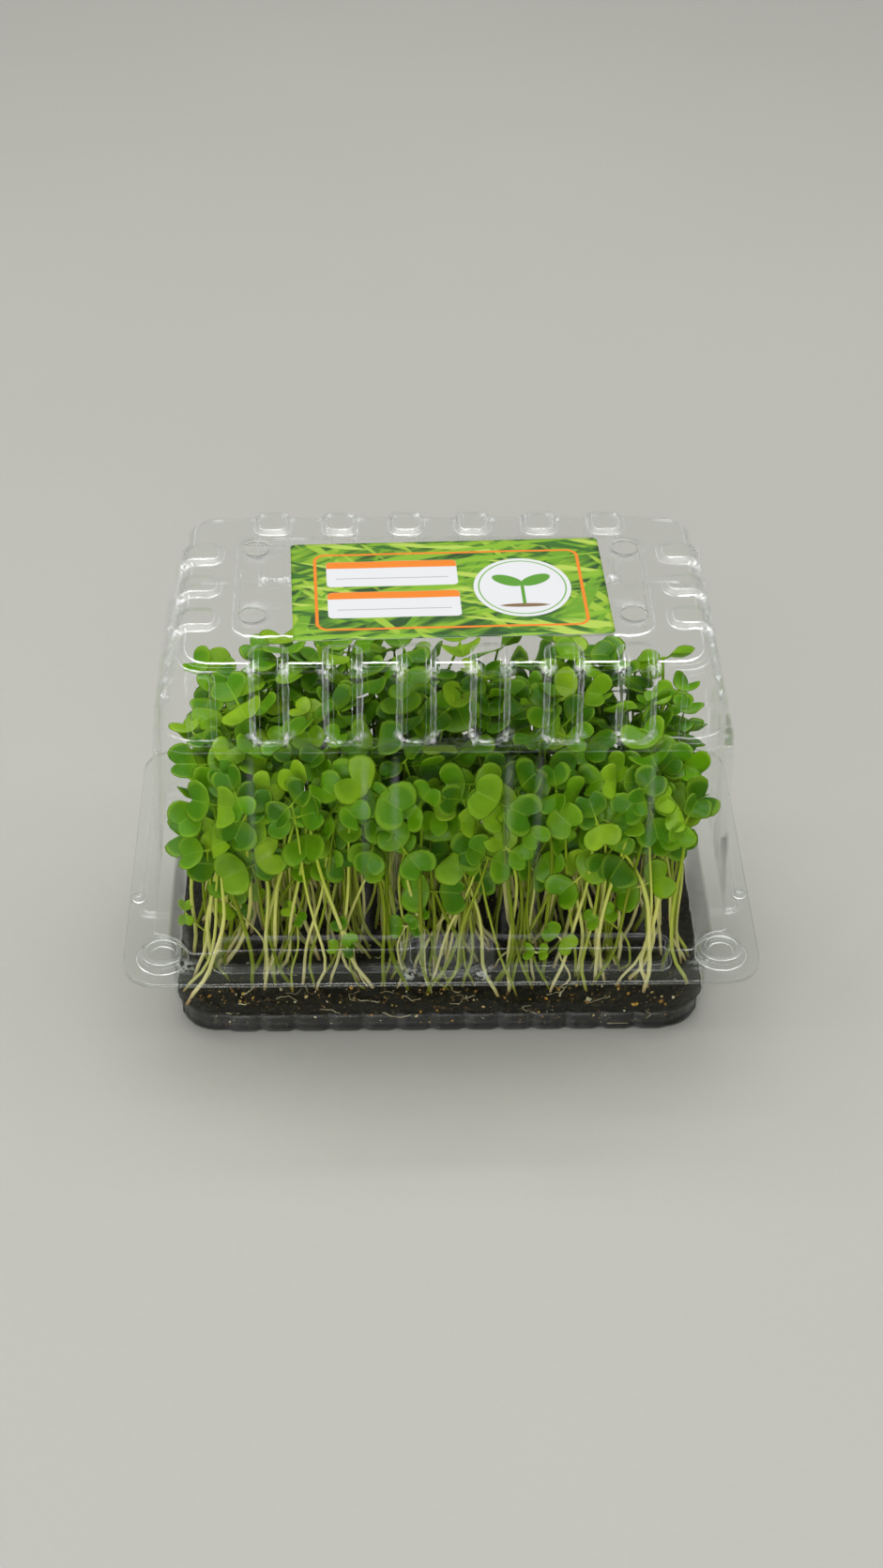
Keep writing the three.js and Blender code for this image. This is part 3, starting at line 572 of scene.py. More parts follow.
def lid_levels():
    """Distance walked to each of the lid's rows, the places that get a ring, close at every bend and
    at the ribs' feet, and the level at each place."""
    known = walk_of(LID_ROWS)
    stations = np.concatenate([
        stops(0, known[WALL] - 1.7, 1.15, [7.6]), [0.5],
        round_bends(known[[WALL, SHOULDER, DOME, DOME_HEAD, TOP_EDGE]], (0.4, 0.9, 1.6)),
        np.linspace(known[WALL] + 2.4, known[SHOULDER] - 2, 13),
        known[DOME] - 1.2 + np.array([0.3, 0.8, 1.3, 1.8, 2.4, 3.2, 4.2]),
        np.linspace(known[DOME] + 4, known[DOME_HEAD] - 2.2, 7),
        stops(known[TOP_EDGE] + 1.7, known[TOP_END], 1.0)])
    stations = distinct(stations, 2, 0.22)
    levels = formed_levels(LID_ROWS, stations, 0.75)
    levels[stations < known[WALL] - 2.6, HEIGHT] = RIM_TOP_LID
    return known, stations, levels


def press_rib(skin, mine, off, walk, span, proud, knots):
    """One rib: the wall pushed out inside its rounded box. The fold's mark is the distance to the box;
    its painted highlight lines are fainter at the lower end, and painted highlight spots lie at the lower
    corners and at the two heights in `knots`."""
    away = box_away(off, walk, RIB["half"], *span, RIB["corner"])
    skin["push"][:, mine] += proud * flank(away, RIB["soft"])
    skin["fold"][:, mine] = np.minimum(skin["fold"][:, mine], away)
    lower_end = np.exp(-((walk - span[0]) / 1.5) ** 2)
    skin["fold_gain"][:, mine] -= 0.4 * lower_end * smoothstep(RIB["half"] + 0.6, RIB["half"] - 1.4, off)
    spots = [0.7 * np.exp(-((walk - span[0] - 0.9) / 1.2) ** 2 - ((off - RIB["half"] + 0.4) / 0.9) ** 2)]
    for place, reach in zip(knots, (1.8, 1.6)):
        spots.append(0.8 * np.exp(-((walk - place) / reach) ** 2 - (away / 1.1) ** 2))
    skin["painted_glint"][:, mine] = np.maximum.reduce([skin["painted_glint"][:, mine], *spots])


def press_flute(skin, mine, off, z, sheen_strength):
    """One wide flute of the wall under the ribs: pushed out to both its ends in height, with a faint
    band of painted sheen along each flank that grows upwards."""
    low, high = WALL_FLUTE["low"], WALL_FLUTE["high"]
    ends = smoothstep(low, low + 5, z) * smoothstep(high, high - 4.5, z)
    face = smoothstep(WALL_FLUTE["half"], WALL_FLUTE["flat"], off)
    skin["push"][:, mine] += WALL_FLUTE["proud"] * face * ends
    # Painted sheen: a faint band of lamp-lit white along each flank, stronger higher up.
    band = smoothstep(3.0, 3.9, off) * smoothstep(6.1, 5.2, off) * sheen_strength
    band = band * ends * (0.06 + 0.17 * smoothstep(60, 110, z))
    skin["painted_sheen"][:, mine] = np.maximum(skin["painted_sheen"][:, mine], band)


def press_wall(points, known, stations, levels, side):
    """Ribs, flutes and the small pads of the front's corners: how far each point of the wall is pushed
    out, and the marks that go with it."""
    walk = np.repeat(stations[:, None], points.shape[1], 1)
    skin = {key: np.zeros(points.shape[:2]) for key in ("push", "painted_sheen", "painted_glint")}
    # fold_gain is the strength of the painted highlight lines along the folds; the corner pads' outlines get
    # fainter ones.
    skin["fold"], skin["fold_gain"] = np.full(points.shape[:2], FAR), np.full(points.shape[:2], 0.72)
    dome = stations > known[SHOULDER] - 1
    start, *knots = (np.interp(z, levels[dome, HEIGHT], stations[dome]) for z in (RIB["foot"], *GLINT_LEVELS))
    for number, row, axis in ((0, FRONT, 0), (1, SIDE, 1), (2, BACK, 0), (3, SIDE, 1)):
        mine = side == number
        across, q = points[:, mine, axis], walk[:, mine]
        half = levels[dome, HALF_X if axis else HALF_Y]
        end = np.interp(row["end"], half[::-1], stations[dome][::-1])
        over_edge = smoothstep(known[DOME_HEAD] - 2, known[TOP_EDGE] + 2, q)
        proud = RIB["proud"] + (RIB["top"] - RIB["proud"]) * over_edge
        for centre in row["centres"]:
            press_rib(skin, mine, np.abs(across - centre), q, (start, end), proud, knots)
        for centre in row["flutes"]:
            sheen_strength = 1.0 if row is FRONT else 0.5
            press_flute(skin, mine, np.abs(across - centre), levels[:, HEIGHT, None], sheen_strength)
    front = outward(points)[..., 1] < FACES_FRONT
    for s in (-1, 1):
        away = box_away(points[..., 0] - CORNER_PAD["shift"] - s * CORNER_PAD["x"], walk, CORNER_PAD["half"],
                        knots[0] - 2.2, known[DOME_HEAD] - 1.2, CORNER_PAD["corner"])
        away = np.where(front, away, FAR)
        skin["push"] += CORNER_PAD["proud"] * flank(away, CORNER_PAD["soft"])
        skin["fold_gain"] = np.where(away < skin["fold"], 0.3, skin["fold_gain"])
        skin["fold"] = np.minimum(skin["fold"], away)
    skin["fold"] = np.clip(skin["fold"], -FAR, FAR)
    return walk, skin


def press_flange(points, walk, known, skin):
    """Beads and the thumb pad raised from the flange, with the flange's painted highlight spots, painted
    sheen and painted highlight lines.
    """
    x, y = points[..., 0], points[..., 1]
    bead = beads_away(x, y, **LID_BEADS)
    pad_x = (x - THUMB_PAD["x"]) / THUMB_PAD["half_x"]
    pad_y = np.minimum(y - THUMB_PAD["y"], 0) / THUMB_PAD["half_y"]
    pad = THUMB_PAD["half_y"] * (np.hypot(pad_x, pad_y) - 1) + 10 * (y > 0)
    fade = smoothstep(known[WALL] + 9, known[WALL] + 0.5, walk)
    points[..., 2] += fade * np.maximum(1.2 * flank(bead, 0.8), THUMB_PAD["proud"] * flank(pad, 0.9))
    low = walk < known[WALL] + FLANGE_MARKS
    for place_x, place_y, reach, strength in FLANGE_GLINTS:
        spot = strength * np.exp(-((x - place_x) / reach) ** 2 - ((y - place_y) / reach) ** 2) * low
        skin["painted_glint"] = np.maximum(skin["painted_glint"], spot)
    # Painted sheen along the front lip and in rings over the thumb pad.
    lip_sheen = 0.09 * low * smoothstep(0.3, 1.5, walk) * (y < -40) * smoothstep(-55.5, -57.5, y)
    pad_sheen = (0.2 + 0.16 * np.cos(2.4 * pad)) * low * flank(pad, 1.2)
    skin["painted_sheen"] = np.maximum.reduce([skin["painted_sheen"], lip_sheen, pad_sheen])
    skin["fold"] = np.where(low, np.clip(np.where(pad < 1.2, pad, bead), -FAR, FAR), skin["fold"])
    skin["fold_gain"] = np.where(low, 0.32, skin["fold_gain"])


def lid_creases(x, walk, known, fold):
    """The painted highlight lines on the lid's bends: each is as bright as its own strength and stops at
    the ribs, and the two of the dome are painted brighter at its corners."""
    rows = known[[RIM, WALL, SHOULDER, DOME, DOME_HEAD, TOP_EDGE]]
    crease, gain = to_nearest(walk, rows, LID_CREASES)
    between = smoothstep(-0.5, 1.2, np.where(walk > known[SHOULDER], fold, FAR))
    corner = smoothstep(68.5, 71, np.abs(x)) * smoothstep(87, 82, np.abs(x))
    on_dome = (walk > known[DOME] - 1.2) & (walk < known[DOME_HEAD] + 1.2)
    return crease, np.where(on_dome, np.maximum(gain, 0.85 * corner), gain * between)


def lid_skin():
    """The outer face of the lid. Levels run from the rim's edge over the flange, up the wall and in over
    the top to the raised panel with its vents; ribs, flutes and pads push the wall out along its own
    normal, and beads and the thumb pad lift the flange."""
    lines = wall_lines(64.6, 27.2, 30, 2.2, rib_edges(FRONT), rib_edges(BACK), rib_edges(SIDE))
    known, stations, levels = lid_levels()
    points = rings_at(levels, lines)
    walk, skin = press_wall(points, known, stations, levels, run_of(lines))
    points = points + outward(points) * skin["push"][..., None]
    press_flange(points, walk, known, skin)
    crease, gain = lid_creases(points[..., 0], walk, known, skin["fold"])
    points[..., 1] = np.minimum(points[..., 1], HINGE_Y - 1.2)

    columns = points.shape[1]
    inner = []
    for inset, rise, _ in PANEL_STEP:
        size = [PANEL[key] - inset for key in ("half_x", "half_y", "corner")]
        inner.append(np.column_stack([nearest_on(points[-1, :, :2], *size), np.full(columns, TOP_Z + rise)]))
    step = np.repeat(np.array(PANEL_STEP)[:, 2:], columns, 1)
    points = np.concatenate([points, inner])
    flat, triangles, added = close_with_flat(points, VENTS, 6.0, TOP_Z + PANEL["rise"])
    vent_rims = np.arange(added) < HOLE_SIDES * len(VENTS)

    def whole(wall, panel, fill):
        """One mark over the wall's rings, the panel's step and the flat fill."""
        return np.concatenate([wall.ravel(), np.ravel(panel + 0 * step), fill + np.zeros(added)])

    # Painted highlight lines, painted highlight spots and painted sheen: the panel's step gets a strong
    # painted highlight line and the vents' rims painted sheen.
    marks = {"fold": whole(skin["fold"], FAR, FAR), "fold_gain": whole(skin["fold_gain"], 0, 0),
             "crease": whole(crease, step, FAR), "crease_gain": whole(gain, 0.85, 0),
             "painted_glint": whole(skin["painted_glint"], 0, 0), "painted_sheen": whole(skin["painted_sheen"], 0, 0.3 * vent_rims)}
    return flat, [grid_quads(len(points), columns), triangles], marks


lid_points, lid_faces, lid_marks = lid_skin()
lid = make_piece("clear_lid", lid_points, lid_faces, [CLEAR, CUT_EDGE], "lid", nodes=["clamshell_lid"],
                 slot="clear_plastic", marks=lid_marks)
thicken(lid, SKIN)


def turned_skin(profile, centre, sides, creases):
    """A profile (radius, height) carried round an upright axis, from the middle outwards. The creases,
    given by distance along the profile, get painted highlight lines that grow brighter outwards."""
    profile = np.array(profile, float)
    rings = profile[1:, 0, None, None] * circle(sides)
    points = np.concatenate([rings, np.broadcast_to(profile[1:, 1, None, None], (*rings.shape[:2], 1))], 2)
    points = points.reshape(-1, 3) + [*centre, 0]
    pole = len(points)
    points = np.concatenate([points, [[*centre, profile[0, 1]]]])
    quads = grid_quads(len(profile) - 1, sides)[:, ::-1]
    crease, gain = to_nearest(arc(profile)[1:], creases, np.linspace(0.35, 0.8, len(creases)))
    marks = {"crease": np.append(np.repeat(crease, sides), FAR),
             "crease_gain": np.append(np.repeat(gain, sides), 0), "fold": np.full(len(points), FAR)}
    return points, [quads, fan(np.arange(sides), pole)], marks


def soft_profile(profile, soft, count):
    """A profile with its bends blurred and read at `count` even places."""
    line = np.array(profile, float)
    length, steps = arc(line)[-1], 399
    dense = at(line, np.linspace(0, length, steps + 1))
    round_line = softened(dense, length / steps, soft)
    round_line[:, 0] = np.maximum(round_line[:, 0], 0)
    round_line[0, 0] = 0
    return at(round_line, np.linspace(0, 1, count) * arc(round_line)[-1])


BUTTONS = {"x": 90, "y": -50, "sides": 56, "soft": 0.32, "rings": 26, "bends": [  # radius, rise
    (0, 1.4), (3.9, 1.2), (4.9, 3.3), (6.9, 3.3), (7.8, 0.06), (8.6, 0.04)]}
NUBS = {"x": 99.5, "y": -20, "sides": 28, "soft": 0.2, "rings": 12, "bends": [
    (0, 2.0), (1.3, 1.9), (2.1, 0.06), (2.7, 0.04)]}


def pressed_pair(name, form):
    """Two round forms pressed up from the lid's flange: the snap buttons, raised rings with a lower
    middle, or the small nubs."""
    bends = [(radius, RIM_TOP_LID + rise) for radius, rise in form["bends"]]
    profile = soft_profile(bends, form["soft"], form["rings"])
    for s, hand in ((-1, "left"), (1, "right")):
        centre = s * form["x"], form["y"]
        points, faces, marks = turned_skin(profile, centre, form["sides"], arc(np.array(bends))[1:-1])
        made = make_piece(f"{name}_{hand}", points, faces, [CLEAR, CUT_EDGE], "lid", slot="clear_plastic",
                          marks=marks)
        thicken(made, BUTTON_SKIN)


pressed_pair("snap_button", BUTTONS)
pressed_pair("nub", NUBS)

# ---- Tub ---------------------------------------------------------------------------------------

LEDGE_Z = 7.2
TUB_ROWS = [  # half x, half y, cut x, cut y, bulge, z
    (102.5, 63, 11, 11, 3.2, RIM_TOP_TUB - SHEET),
    (88.85, 47.25, 11, 9, 0.8, RIM_TOP_TUB - SHEET),
    (88.2, 46.9, 11.5, 9.5, 1.6, LEDGE_Z),
    (86, 45.4, 10.8, 11.8, 2.9, LEDGE_Z),
    (86, 45.4, 10.8, 11.8, 2.9, 0),
    (79, 38.4, 4.6, 5.6, 1.2, 0),
]
_, TUB_WALL, LEDGE, FOOT_TOP, FOOT, FLOOR = range(len(TUB_ROWS))
FLUTE = {"pitch": 11.2, "depth": 0.9, "rises": 0.24, "long": 13, "short": 6, "shift": 2.4}
FOOT_SIDE_X, FOOT_FACE_Y = 79, 38  # the flutes of the short and of the long sides lie beyond these
TUB_BEADS = {"front_y": -45.2, "half_x": 72, "reach": 9.2, "half_y": 31.5, "low": 80, "high": 97.4}
PEG = {"x": 90, "y": -50, "foot": 7.1, "top": 6.2}  # the lower halves of the snap buttons


def flute_wave(along_, count, shift):
    """Flat-topped waves: 0 in the groove between two flutes, 1 on their faces."""
    where = (along_ - shift) / FLUTE["pitch"] + count / 2
    part = where - np.floor(where)
    wave = smoothstep(0, FLUTE["rises"], np.minimum(part, 1 - part))
    return wave * ((where > 0) & (where < count))


def tub_levels():
    """Distance walked to each of the tub's rows, the places that get a ring, and the level at each."""
    known = walk_of(TUB_ROWS)
    stations = np.concatenate([
        stops(0, known[TUB_WALL] - 1.6, 1.6, [8.6]), [0.5],
        round_bends(known[TUB_WALL:FLOOR], (0.35, 0.8, 1.4)),
        np.linspace(known[TUB_WALL] + 3, known[LEDGE] - 2, 6),
        np.linspace(known[FOOT_TOP] + 2, known[FOOT] - 2, 4), np.linspace(known[FOOT] + 2, known[FLOOR], 4)])
    stations = distinct(stations, 2, 0.2)
    levels = formed_levels(TUB_ROWS, stations, 0.5)
    levels[stations < known[TUB_WALL] - 2, HEIGHT] = RIM_TOP_TUB - SHEET
    levels[:, HEIGHT] = np.maximum(levels[:, HEIGHT], 0)
    return known, stations, levels


def tub_skin():
    """The outer face of the tub: under the flange, down the wall, in over the ledge, down the fluted
    foot and in under the floor. Under the floor and low on the foot the mark `painted_shade` darkens
    it with painted shade, and bands of painted sheen lie on the foot's flutes."""
    known, stations, levels = tub_levels()
    points = rings_at(levels, wall_lines(75, 33.4, 26, 1.25))
    walk = np.repeat(stations[:, None], points.shape[1], 1)
    x, y = points[..., 0], points[..., 1]
    on_side = np.abs(x) > FOOT_SIDE_X
    wave = np.maximum(flute_wave(x, FLUTE["long"], FLUTE["shift"]) * (y < -FOOT_FACE_Y),
                      flute_wave(x, FLUTE["long"], 0) * (y > FOOT_FACE_Y))
    wave = np.where(on_side, flute_wave(y, FLUTE["short"], 0), wave)
    wave *= smoothstep(known[LEDGE] + 0.3, known[FOOT_TOP] - 0.2, walk)
    wave *= smoothstep(known[FOOT] + 2.5, known[FOOT] - 0.5, walk)
    way = np.stack([np.where(on_side, np.sign(x), 0), np.where(on_side, 0, np.sign(y))], -1)
    points[..., :2] += way * (FLUTE["depth"] * wave)[..., None]
    fade = smoothstep(known[TUB_WALL] + 8, known[TUB_WALL] + 0.5, walk)
    bead = beads_away(x, y, **TUB_BEADS)
    pegs = [smoothstep(PEG["foot"], PEG["top"], np.hypot(x - s * PEG["x"], y - PEG["y"])) for s in (-1, 1)]
    points[..., 2] += fade * np.maximum.reduce([1.15 * flank(bead, 0.8), *pegs])
    crease, gain = to_nearest(walk, known[TUB_WALL:FLOOR], TUB_CREASES)
    flat, triangles, added = close_with_flat(points, [], 8.0, 0.0)
    fold = np.where(walk < known[TUB_WALL], np.clip(bead, -FAR, FAR), FAR)
    # Painted sheen: faint lamp-lit bands on the flutes of the foot.
    painted_sheen = (0.05 + 0.05 * wave * (1 - wave) * 4) * (walk > known[FOOT_TOP])
    # Painted shade: a darker see-through tint under the floor and along the foot's bottom edge, where the tub
    # meets the table.
    painted_shade = 0.4 * smoothstep(known[FOOT] - 1.6, known[FOOT] - 0.4, walk)
    marks = {key: np.append(values, np.full(added, fill)) for key, values, fill in (
        ("fold", fold, FAR), ("fold_gain", np.full(walk.shape, 0.12), 0), ("crease", crease, FAR),
        ("crease_gain", gain, 0), ("painted_sheen", painted_sheen, 0), ("painted_shade", painted_shade, 0.4))}
    return flat, [grid_quads(len(points), points.shape[1])[:, ::-1], triangles[:, ::-1]], marks


tub_points, tub_faces, tub_marks = tub_skin()
tub = make_piece("clear_tub", tub_points, tub_faces, [CLEAR_TUB, CUT_EDGE], "tray", nodes=["clamshell_base"],
                 slot="clear_plastic", marks=tub_marks)
thicken(tub, SKIN)


HINGE = {"half_x": 88, "sides": 14, "rings": 177, "score_pitch": 8, "score_half": 0.8, "score_depth": 0.16}


def hinge_fold():
    """The living hinge: the sheet rolled over along the back edge, with a score line every few mm. Its
    radius drops at each score and comes to the root of a smooth step at both ends."""
    half, sides, rings = HINGE["half_x"], HINGE["sides"], HINGE["rings"]
    x = np.linspace(-half, half, rings)
    scored = np.abs((x + half) % HINGE["score_pitch"] - HINGE["score_pitch"] / 2) < HINGE["score_half"]
    radius = HINGE_ROLL * (1 - HINGE["score_depth"] * scored) * smoothstep(89.2, 86.5, np.abs(x)) ** 0.5
    around = radius[:, None, None] * circle(sides)
    points = np.concatenate([np.broadcast_to(x[:, None, None], (rings, sides, 1)), around], 2)
    points = points.reshape(-1, 3) + [0, HINGE_Y, HINGE_Z]
    ends = np.array([[s * (half + 0.2), HINGE_Y, HINGE_Z] for s in (-1, 1)])
    first, last = np.arange(sides), (rings - 1) * sides + np.arange(sides)
    caps = np.concatenate([fan(first, len(points))[:, ::-1], fan(last, len(points) + 1)])
    return np.concatenate([points, ends]), [grid_quads(rings, sides), caps]


hinge_points, hinge_faces = hinge_fold()
# A faint painted sheen of lamp-lit white covers the whole hinge fold.
make_piece("hinge_fold", hinge_points, hinge_faces, [CLEAR_TUB], "tray", slot="clear_plastic",
           marks={"fold": np.full(len(hinge_points), FAR), "crease": np.full(len(hinge_points), FAR),
                  "painted_sheen": np.full(len(hinge_points), 0.5)})

# ---- Label -------------------------------------------------------------------------------------

LABEL = {"half_x": 49, "half_y": 27.45, "x": 2.1, "y": -3.4, "z": 146.8, "turn": math.radians(2.1),
         "thick": 0.12, "rows": 41, "columns": 71}
PRINT = {"field_x": -17.5, "fields": (9.2, -8.4), "badge_x": 22.8, "badge_y": -0.4}  # mm from its middle
BLADES = (  # angle, seed, width, length, colour on the screen
    (2.2, 7.7, 4.4, 34, (144, 178, 44)), (1.1, 12.3, 4.6, 36, (96, 148, 10)),
    (-0.25, 21.9, 4.0, 40, (166, 192, 72)), (2.75, 33.3, 4.4, 34, (44, 98, 8)),
    (0.15, 41.7, 3.6, 36, (122, 168, 26)))


def label_sheet():
    """A thin paper sheet that follows the panel with a faint ripple: a grid with corners drawn in."""
    u, v = np.meshgrid(np.linspace(-1, 1, LABEL["columns"]), np.linspace(-1, 1, LABEL["rows"]))
    x, y = u * LABEL["half_x"], v * LABEL["half_y"]
    pull = 0.45 * smoothstep(0.97, 1, np.abs(u)) * smoothstep(0.95, 1, np.abs(v))
    x, y = x - np.sign(u) * pull, y - np.sign(v) * pull
    z = LABEL["z"] + 0.1 + 0.05 * np.sin(x * 0.21 + 1) * np.cos(y * 0.17) + 0.05 * u * v
    c, s = math.cos(LABEL["turn"]), math.sin(LABEL["turn"])
    points = np.stack([LABEL["x"] + c * x - s * y, LABEL["y"] + s * x + c * y, z], -1).reshape(-1, 3)
    return points, [grid_quads(LABEL["rows"], LABEL["columns"], closed=False)]


def label_print():
    """The printed face: blades of grass in greens, an orange frame, a form of two ruled fields on the
    left and an oval with a two-leaved sprout on the right."""
    mix = Recipe("label_paper")
    moved = mix.node("Mapping", {"Vector": mix.place, "Location": (-LABEL["x"] * MM, -LABEL["y"] * MM, 0)},
                     vector_type="POINT").outputs[0]
    flat = mix.node("VectorRotate", {"Vector": moved, "Axis": (0, 0, 1), "Angle": -LABEL["turn"]}).outputs[0]
    in_mm = mix.node("VectorMath", {0: flat, 1: (1 / MM, 1 / MM, 0)}, operation="MULTIPLY").outputs[0]
    x, y = mix.node("SeparateXYZ", {0: in_mm}).outputs[:2]

    def box(cx, cy, hx, hy, corner):
        """Distance outside a rectangle with round corners."""
        dx = mix.math("SUBTRACT", mix.math("ABSOLUTE", mix.math("SUBTRACT", x, cx)), hx - corner)
        dy = mix.math("SUBTRACT", mix.math("ABSOLUTE", mix.math("SUBTRACT", y, cy)), hy - corner)
        outer = mix.far(mix.math("MAXIMUM", dx, 0.0), mix.math("MAXIMUM", dy, 0.0))
        inner = mix.math("MINIMUM", mix.math("MAXIMUM", dx, dy), 0.0)
        return mix.math("SUBTRACT", mix.math("ADD", outer, inner), corner)

    def oval(cx, cy, rx, ry, tilt=0.0):
        """About the distance outside an oval turned by `tilt`."""
        c, s = math.cos(tilt), math.sin(tilt)
        ox, oy = mix.math("SUBTRACT", x, cx), mix.math("SUBTRACT", y, cy)
        ex = mix.math("ADD", mix.math("MULTIPLY", ox, c / rx), mix.math("MULTIPLY", oy, s / rx))
        ey = mix.math("ADD", mix.math("MULTIPLY", ox, -s / ry), mix.math("MULTIPLY", oy, c / ry))
        return mix.math("MULTIPLY", mix.math("SUBTRACT", mix.far(ex, ey), 1.0), min(rx, ry))

    def outline(distance, half):
        """A shape's outline as a line of its own, `half` wide to both sides."""
        return mix.math("SUBTRACT", mix.math("ABSOLUTE", distance), half)

    def paint(ground, distance, tone):
        """The ground with a tone laid on inside a shape, over an edge of 0.24 mm."""
        return mix.mix(mix.ramped(distance, -0.5 / 0.12, 0.5), ground, tone)

    def blades(angle, seed, wide, long):
        """Long narrow streaks: noise stretched along one direction."""
        where = mix.node("Mapping", {"Vector": in_mm, "Rotation": (0, 0, angle), "Scale": (long, wide, 1),
                                     "Location": (seed, seed * 0.7, seed)}, vector_type="TEXTURE").outputs[0]
        return mix.noise(1.0, 1.0, where, 0.4)

    colour = mix.ramp(blades(0.5, 3.1, 3.2, 20), (0.38, srgb(26, 70, 4)), (0.5, srgb(74, 124, 6)),
                      (0.6, srgb(124, 164, 20)))
    for angle, seed, wide, long, tone in BLADES:
        colour = mix.mix(mix.ramped(blades(angle, seed, wide, long), 22.0, -12.9), colour, srgb(*tone))
    orange, white, grey = srgb(224, 122, 8), srgb(212, 213, 215), srgb(150, 156, 152)
    colour = paint(colour, outline(box(0, -0.6, 41.5, 21.2, 3.5), 0.5), orange)
    for cy in PRINT["fields"]:
        field = box(PRINT["field_x"], cy, 20.5, 7.2, 1.6)
        band = mix.math("MAXIMUM", field, mix.math("SUBTRACT", cy + 3.4, y))
        rule = mix.math("MAXIMUM", box(PRINT["field_x"], cy - 2.6, 17.6, 0.18, 0.1), field)
        for shape, tone in ((field, white), (band, orange), (rule, grey)):
            colour = paint(colour, shape, tone)
    middle, level = PRINT["badge_x"], PRINT["badge_y"]
    colour = paint(colour, oval(middle, level, 15.2, 16.6), white)
    colour = paint(colour, outline(oval(middle, level, 13.6, 15.0), 0.22), srgb(96, 158, 40))
    sprout = box(middle, level - 4, 0.55, 5.6, 0.5)
    for s in (-1, 1):
        sprout = mix.math("MINIMUM", sprout, oval(middle + s * 4.4, level + 4, 5.2, 2.6, s * 0.5))
    colour = paint(colour, sprout, srgb(80, 142, 30))
    colour = paint(colour, oval(middle, -10.6, 7.4, 1.0), srgb(120, 92, 60))
    fibre = mix.noise(2600.0, 2.0)
    colour = mix.mix(mix.math("MULTIPLY", fibre, 0.05), colour, srgb(230, 230, 230))
    gloss = mix.math("MULTIPLY_ADD", mix.noise(90.0, 2.0), 0.12, 0.34)
    return mix.finish(mix.skin(colour, gloss, mix.bump(fibre, 0.05, 0.05), 0.25))


def label_back():
    """The unprinted side of the paper: off-white with grey fibres, glued in faint patches."""
    mix = Recipe("label_back")
    glued = mix.ramp(mix.noise(70.0, 3.0), (0.35, srgb(206, 206, 200)), (0.65, srgb(190, 190, 182)))
    colour = mix.mix(mix.math("MULTIPLY", mix.noise(2200.0, 2.0), 0.3), glued, srgb(168, 168, 160))
    return mix.finish(mix.skin(colour, 0.5, mix.bump(mix.noise(900.0, 2.0), 0.1, 0.05), 0.25))


label = make_piece("paper_label", *label_sheet(), [label_print(), label_back()], "lid", nodes=["label"],
                   slot="label_paper")
thicken(label, LABEL["thick"], under=1)

# ---- Growing medium ----------------------------------------------------------------------------


def soil_material():
    """Near-black peat with brown crumbs and damp glints."""
    mix = Recipe("dark_compost")
    lumps = mix.noise(420.0, 6.0, roughness=0.7)
    fine = mix.noise(1300.0, 4.0, roughness=0.7)
    colour = mix.ramp(lumps, (0.30, srgb(11, 11, 6)), (0.55, srgb(31, 30, 18)), (0.74, srgb(76, 72, 44)))
    flecks = mix.ramped(mix.noise(1500.0, 1.0), 14.0, -9.9)
    colour = mix.mix(flecks, colour, srgb(176, 138, 78))
    damp = mix.math("MULTIPLY_ADD", lumps, 0.6, 0.32)
    height = mix.math("ADD", fine, mix.math("MULTIPLY", lumps, 1.6))
    return mix.finish(mix.skin(colour, damp, mix.bump(height, 0.9, 0.9), 0.45))


SOIL = {"rows": 88, "columns": 160, "half_x": 87.2, "half_y": 46.0, "cut_x": 10.0, "cut_y": 9.0, "top": 11.1}
SOIL_SIDES = (  # height, inset, crumbliness: down the tub's wall, in under it and down its foot
    (9.4, 0.1, 0.6), (8.5, 0.05, 0.5), (8.0, 0.3, 0.2), (7.9, 1.3, 0.1), (5.4, 1.25, 0.2), (3.2, 1.25, 0.1),
    (0.65, 1.3, 0.05))
SOIL_FOOT = {"z": 7.9, "inset": 1.2}  # below this height the slab's sides are set in


def soil_edge(y, half_x=SOIL["half_x"]):
    """Half width of the slab at each y: full, then drawn in by a power of the way across the cut
    corner."""
    t = np.clip((np.abs(y) - (SOIL["half_y"] - SOIL["cut_y"])) / SOIL["cut_y"], 0, 1)
    return half_x - SOIL["cut_x"] * t**1.5


def soil_slab():
    """The slab: a bumpy top on a grid drawn in at the corners, crumbly sides down the tub's wall and
    over its ledge, and a flat underside closed by a fan."""
    rows, columns = SOIL["rows"], SOIL["columns"]
    y = np.linspace(-1, 1, rows)[:, None] * SOIL["half_y"] * np.ones((1, columns))
    x = np.linspace(-1, 1, columns)[None] * soil_edge(y)
    rough = sum(share * noise_field(rows, columns, size, seed)
                for share, size, seed in ((0.55, 3.2, 11), (0.42, 1.3, 12), (0.22, 0.6, 13)))
    top = np.stack([x, y, SOIL["top"] + np.clip(rough, -1.6, 1.9)], -1).reshape(-1, 3)
    numbers = np.arange(rows * columns).reshape(rows, columns)
    loop = np.concatenate([numbers[0, :-1], numbers[:-1, -1], numbers[-1, :0:-1], numbers[:0:-1, 0]])
    rng = np.random.default_rng(14)
    half = np.array([SOIL["half_x"], SOIL["half_y"]])
    skirt = []
    for z, inset, crumb in SOIL_SIDES:
        ring = top[loop]
        ring[:, :2] *= (half - inset - crumb * rng.random((len(loop), 1))) / half
        ring[:, 2] = z + (rng.random(len(loop)) - 0.5) * 0.25
        skirt.append(ring)
    points = np.concatenate([top, *skirt, [[0, 0, SOIL_SIDES[-1][0]]]])
    around = rows * columns + np.arange(len(loop))
    side = grid_quads(len(skirt), len(loop), first=rows * columns)
    upper = np.stack([loop, np.roll(loop, -1), np.roll(around, -1), around], 1)
    last = around + (len(skirt) - 1) * len(loop)
    return points, [grid_quads(rows, columns, closed=False), np.concatenate([side, upper])[:, ::-1],
                    fan(last, len(points) - 1)[:, ::-1]]


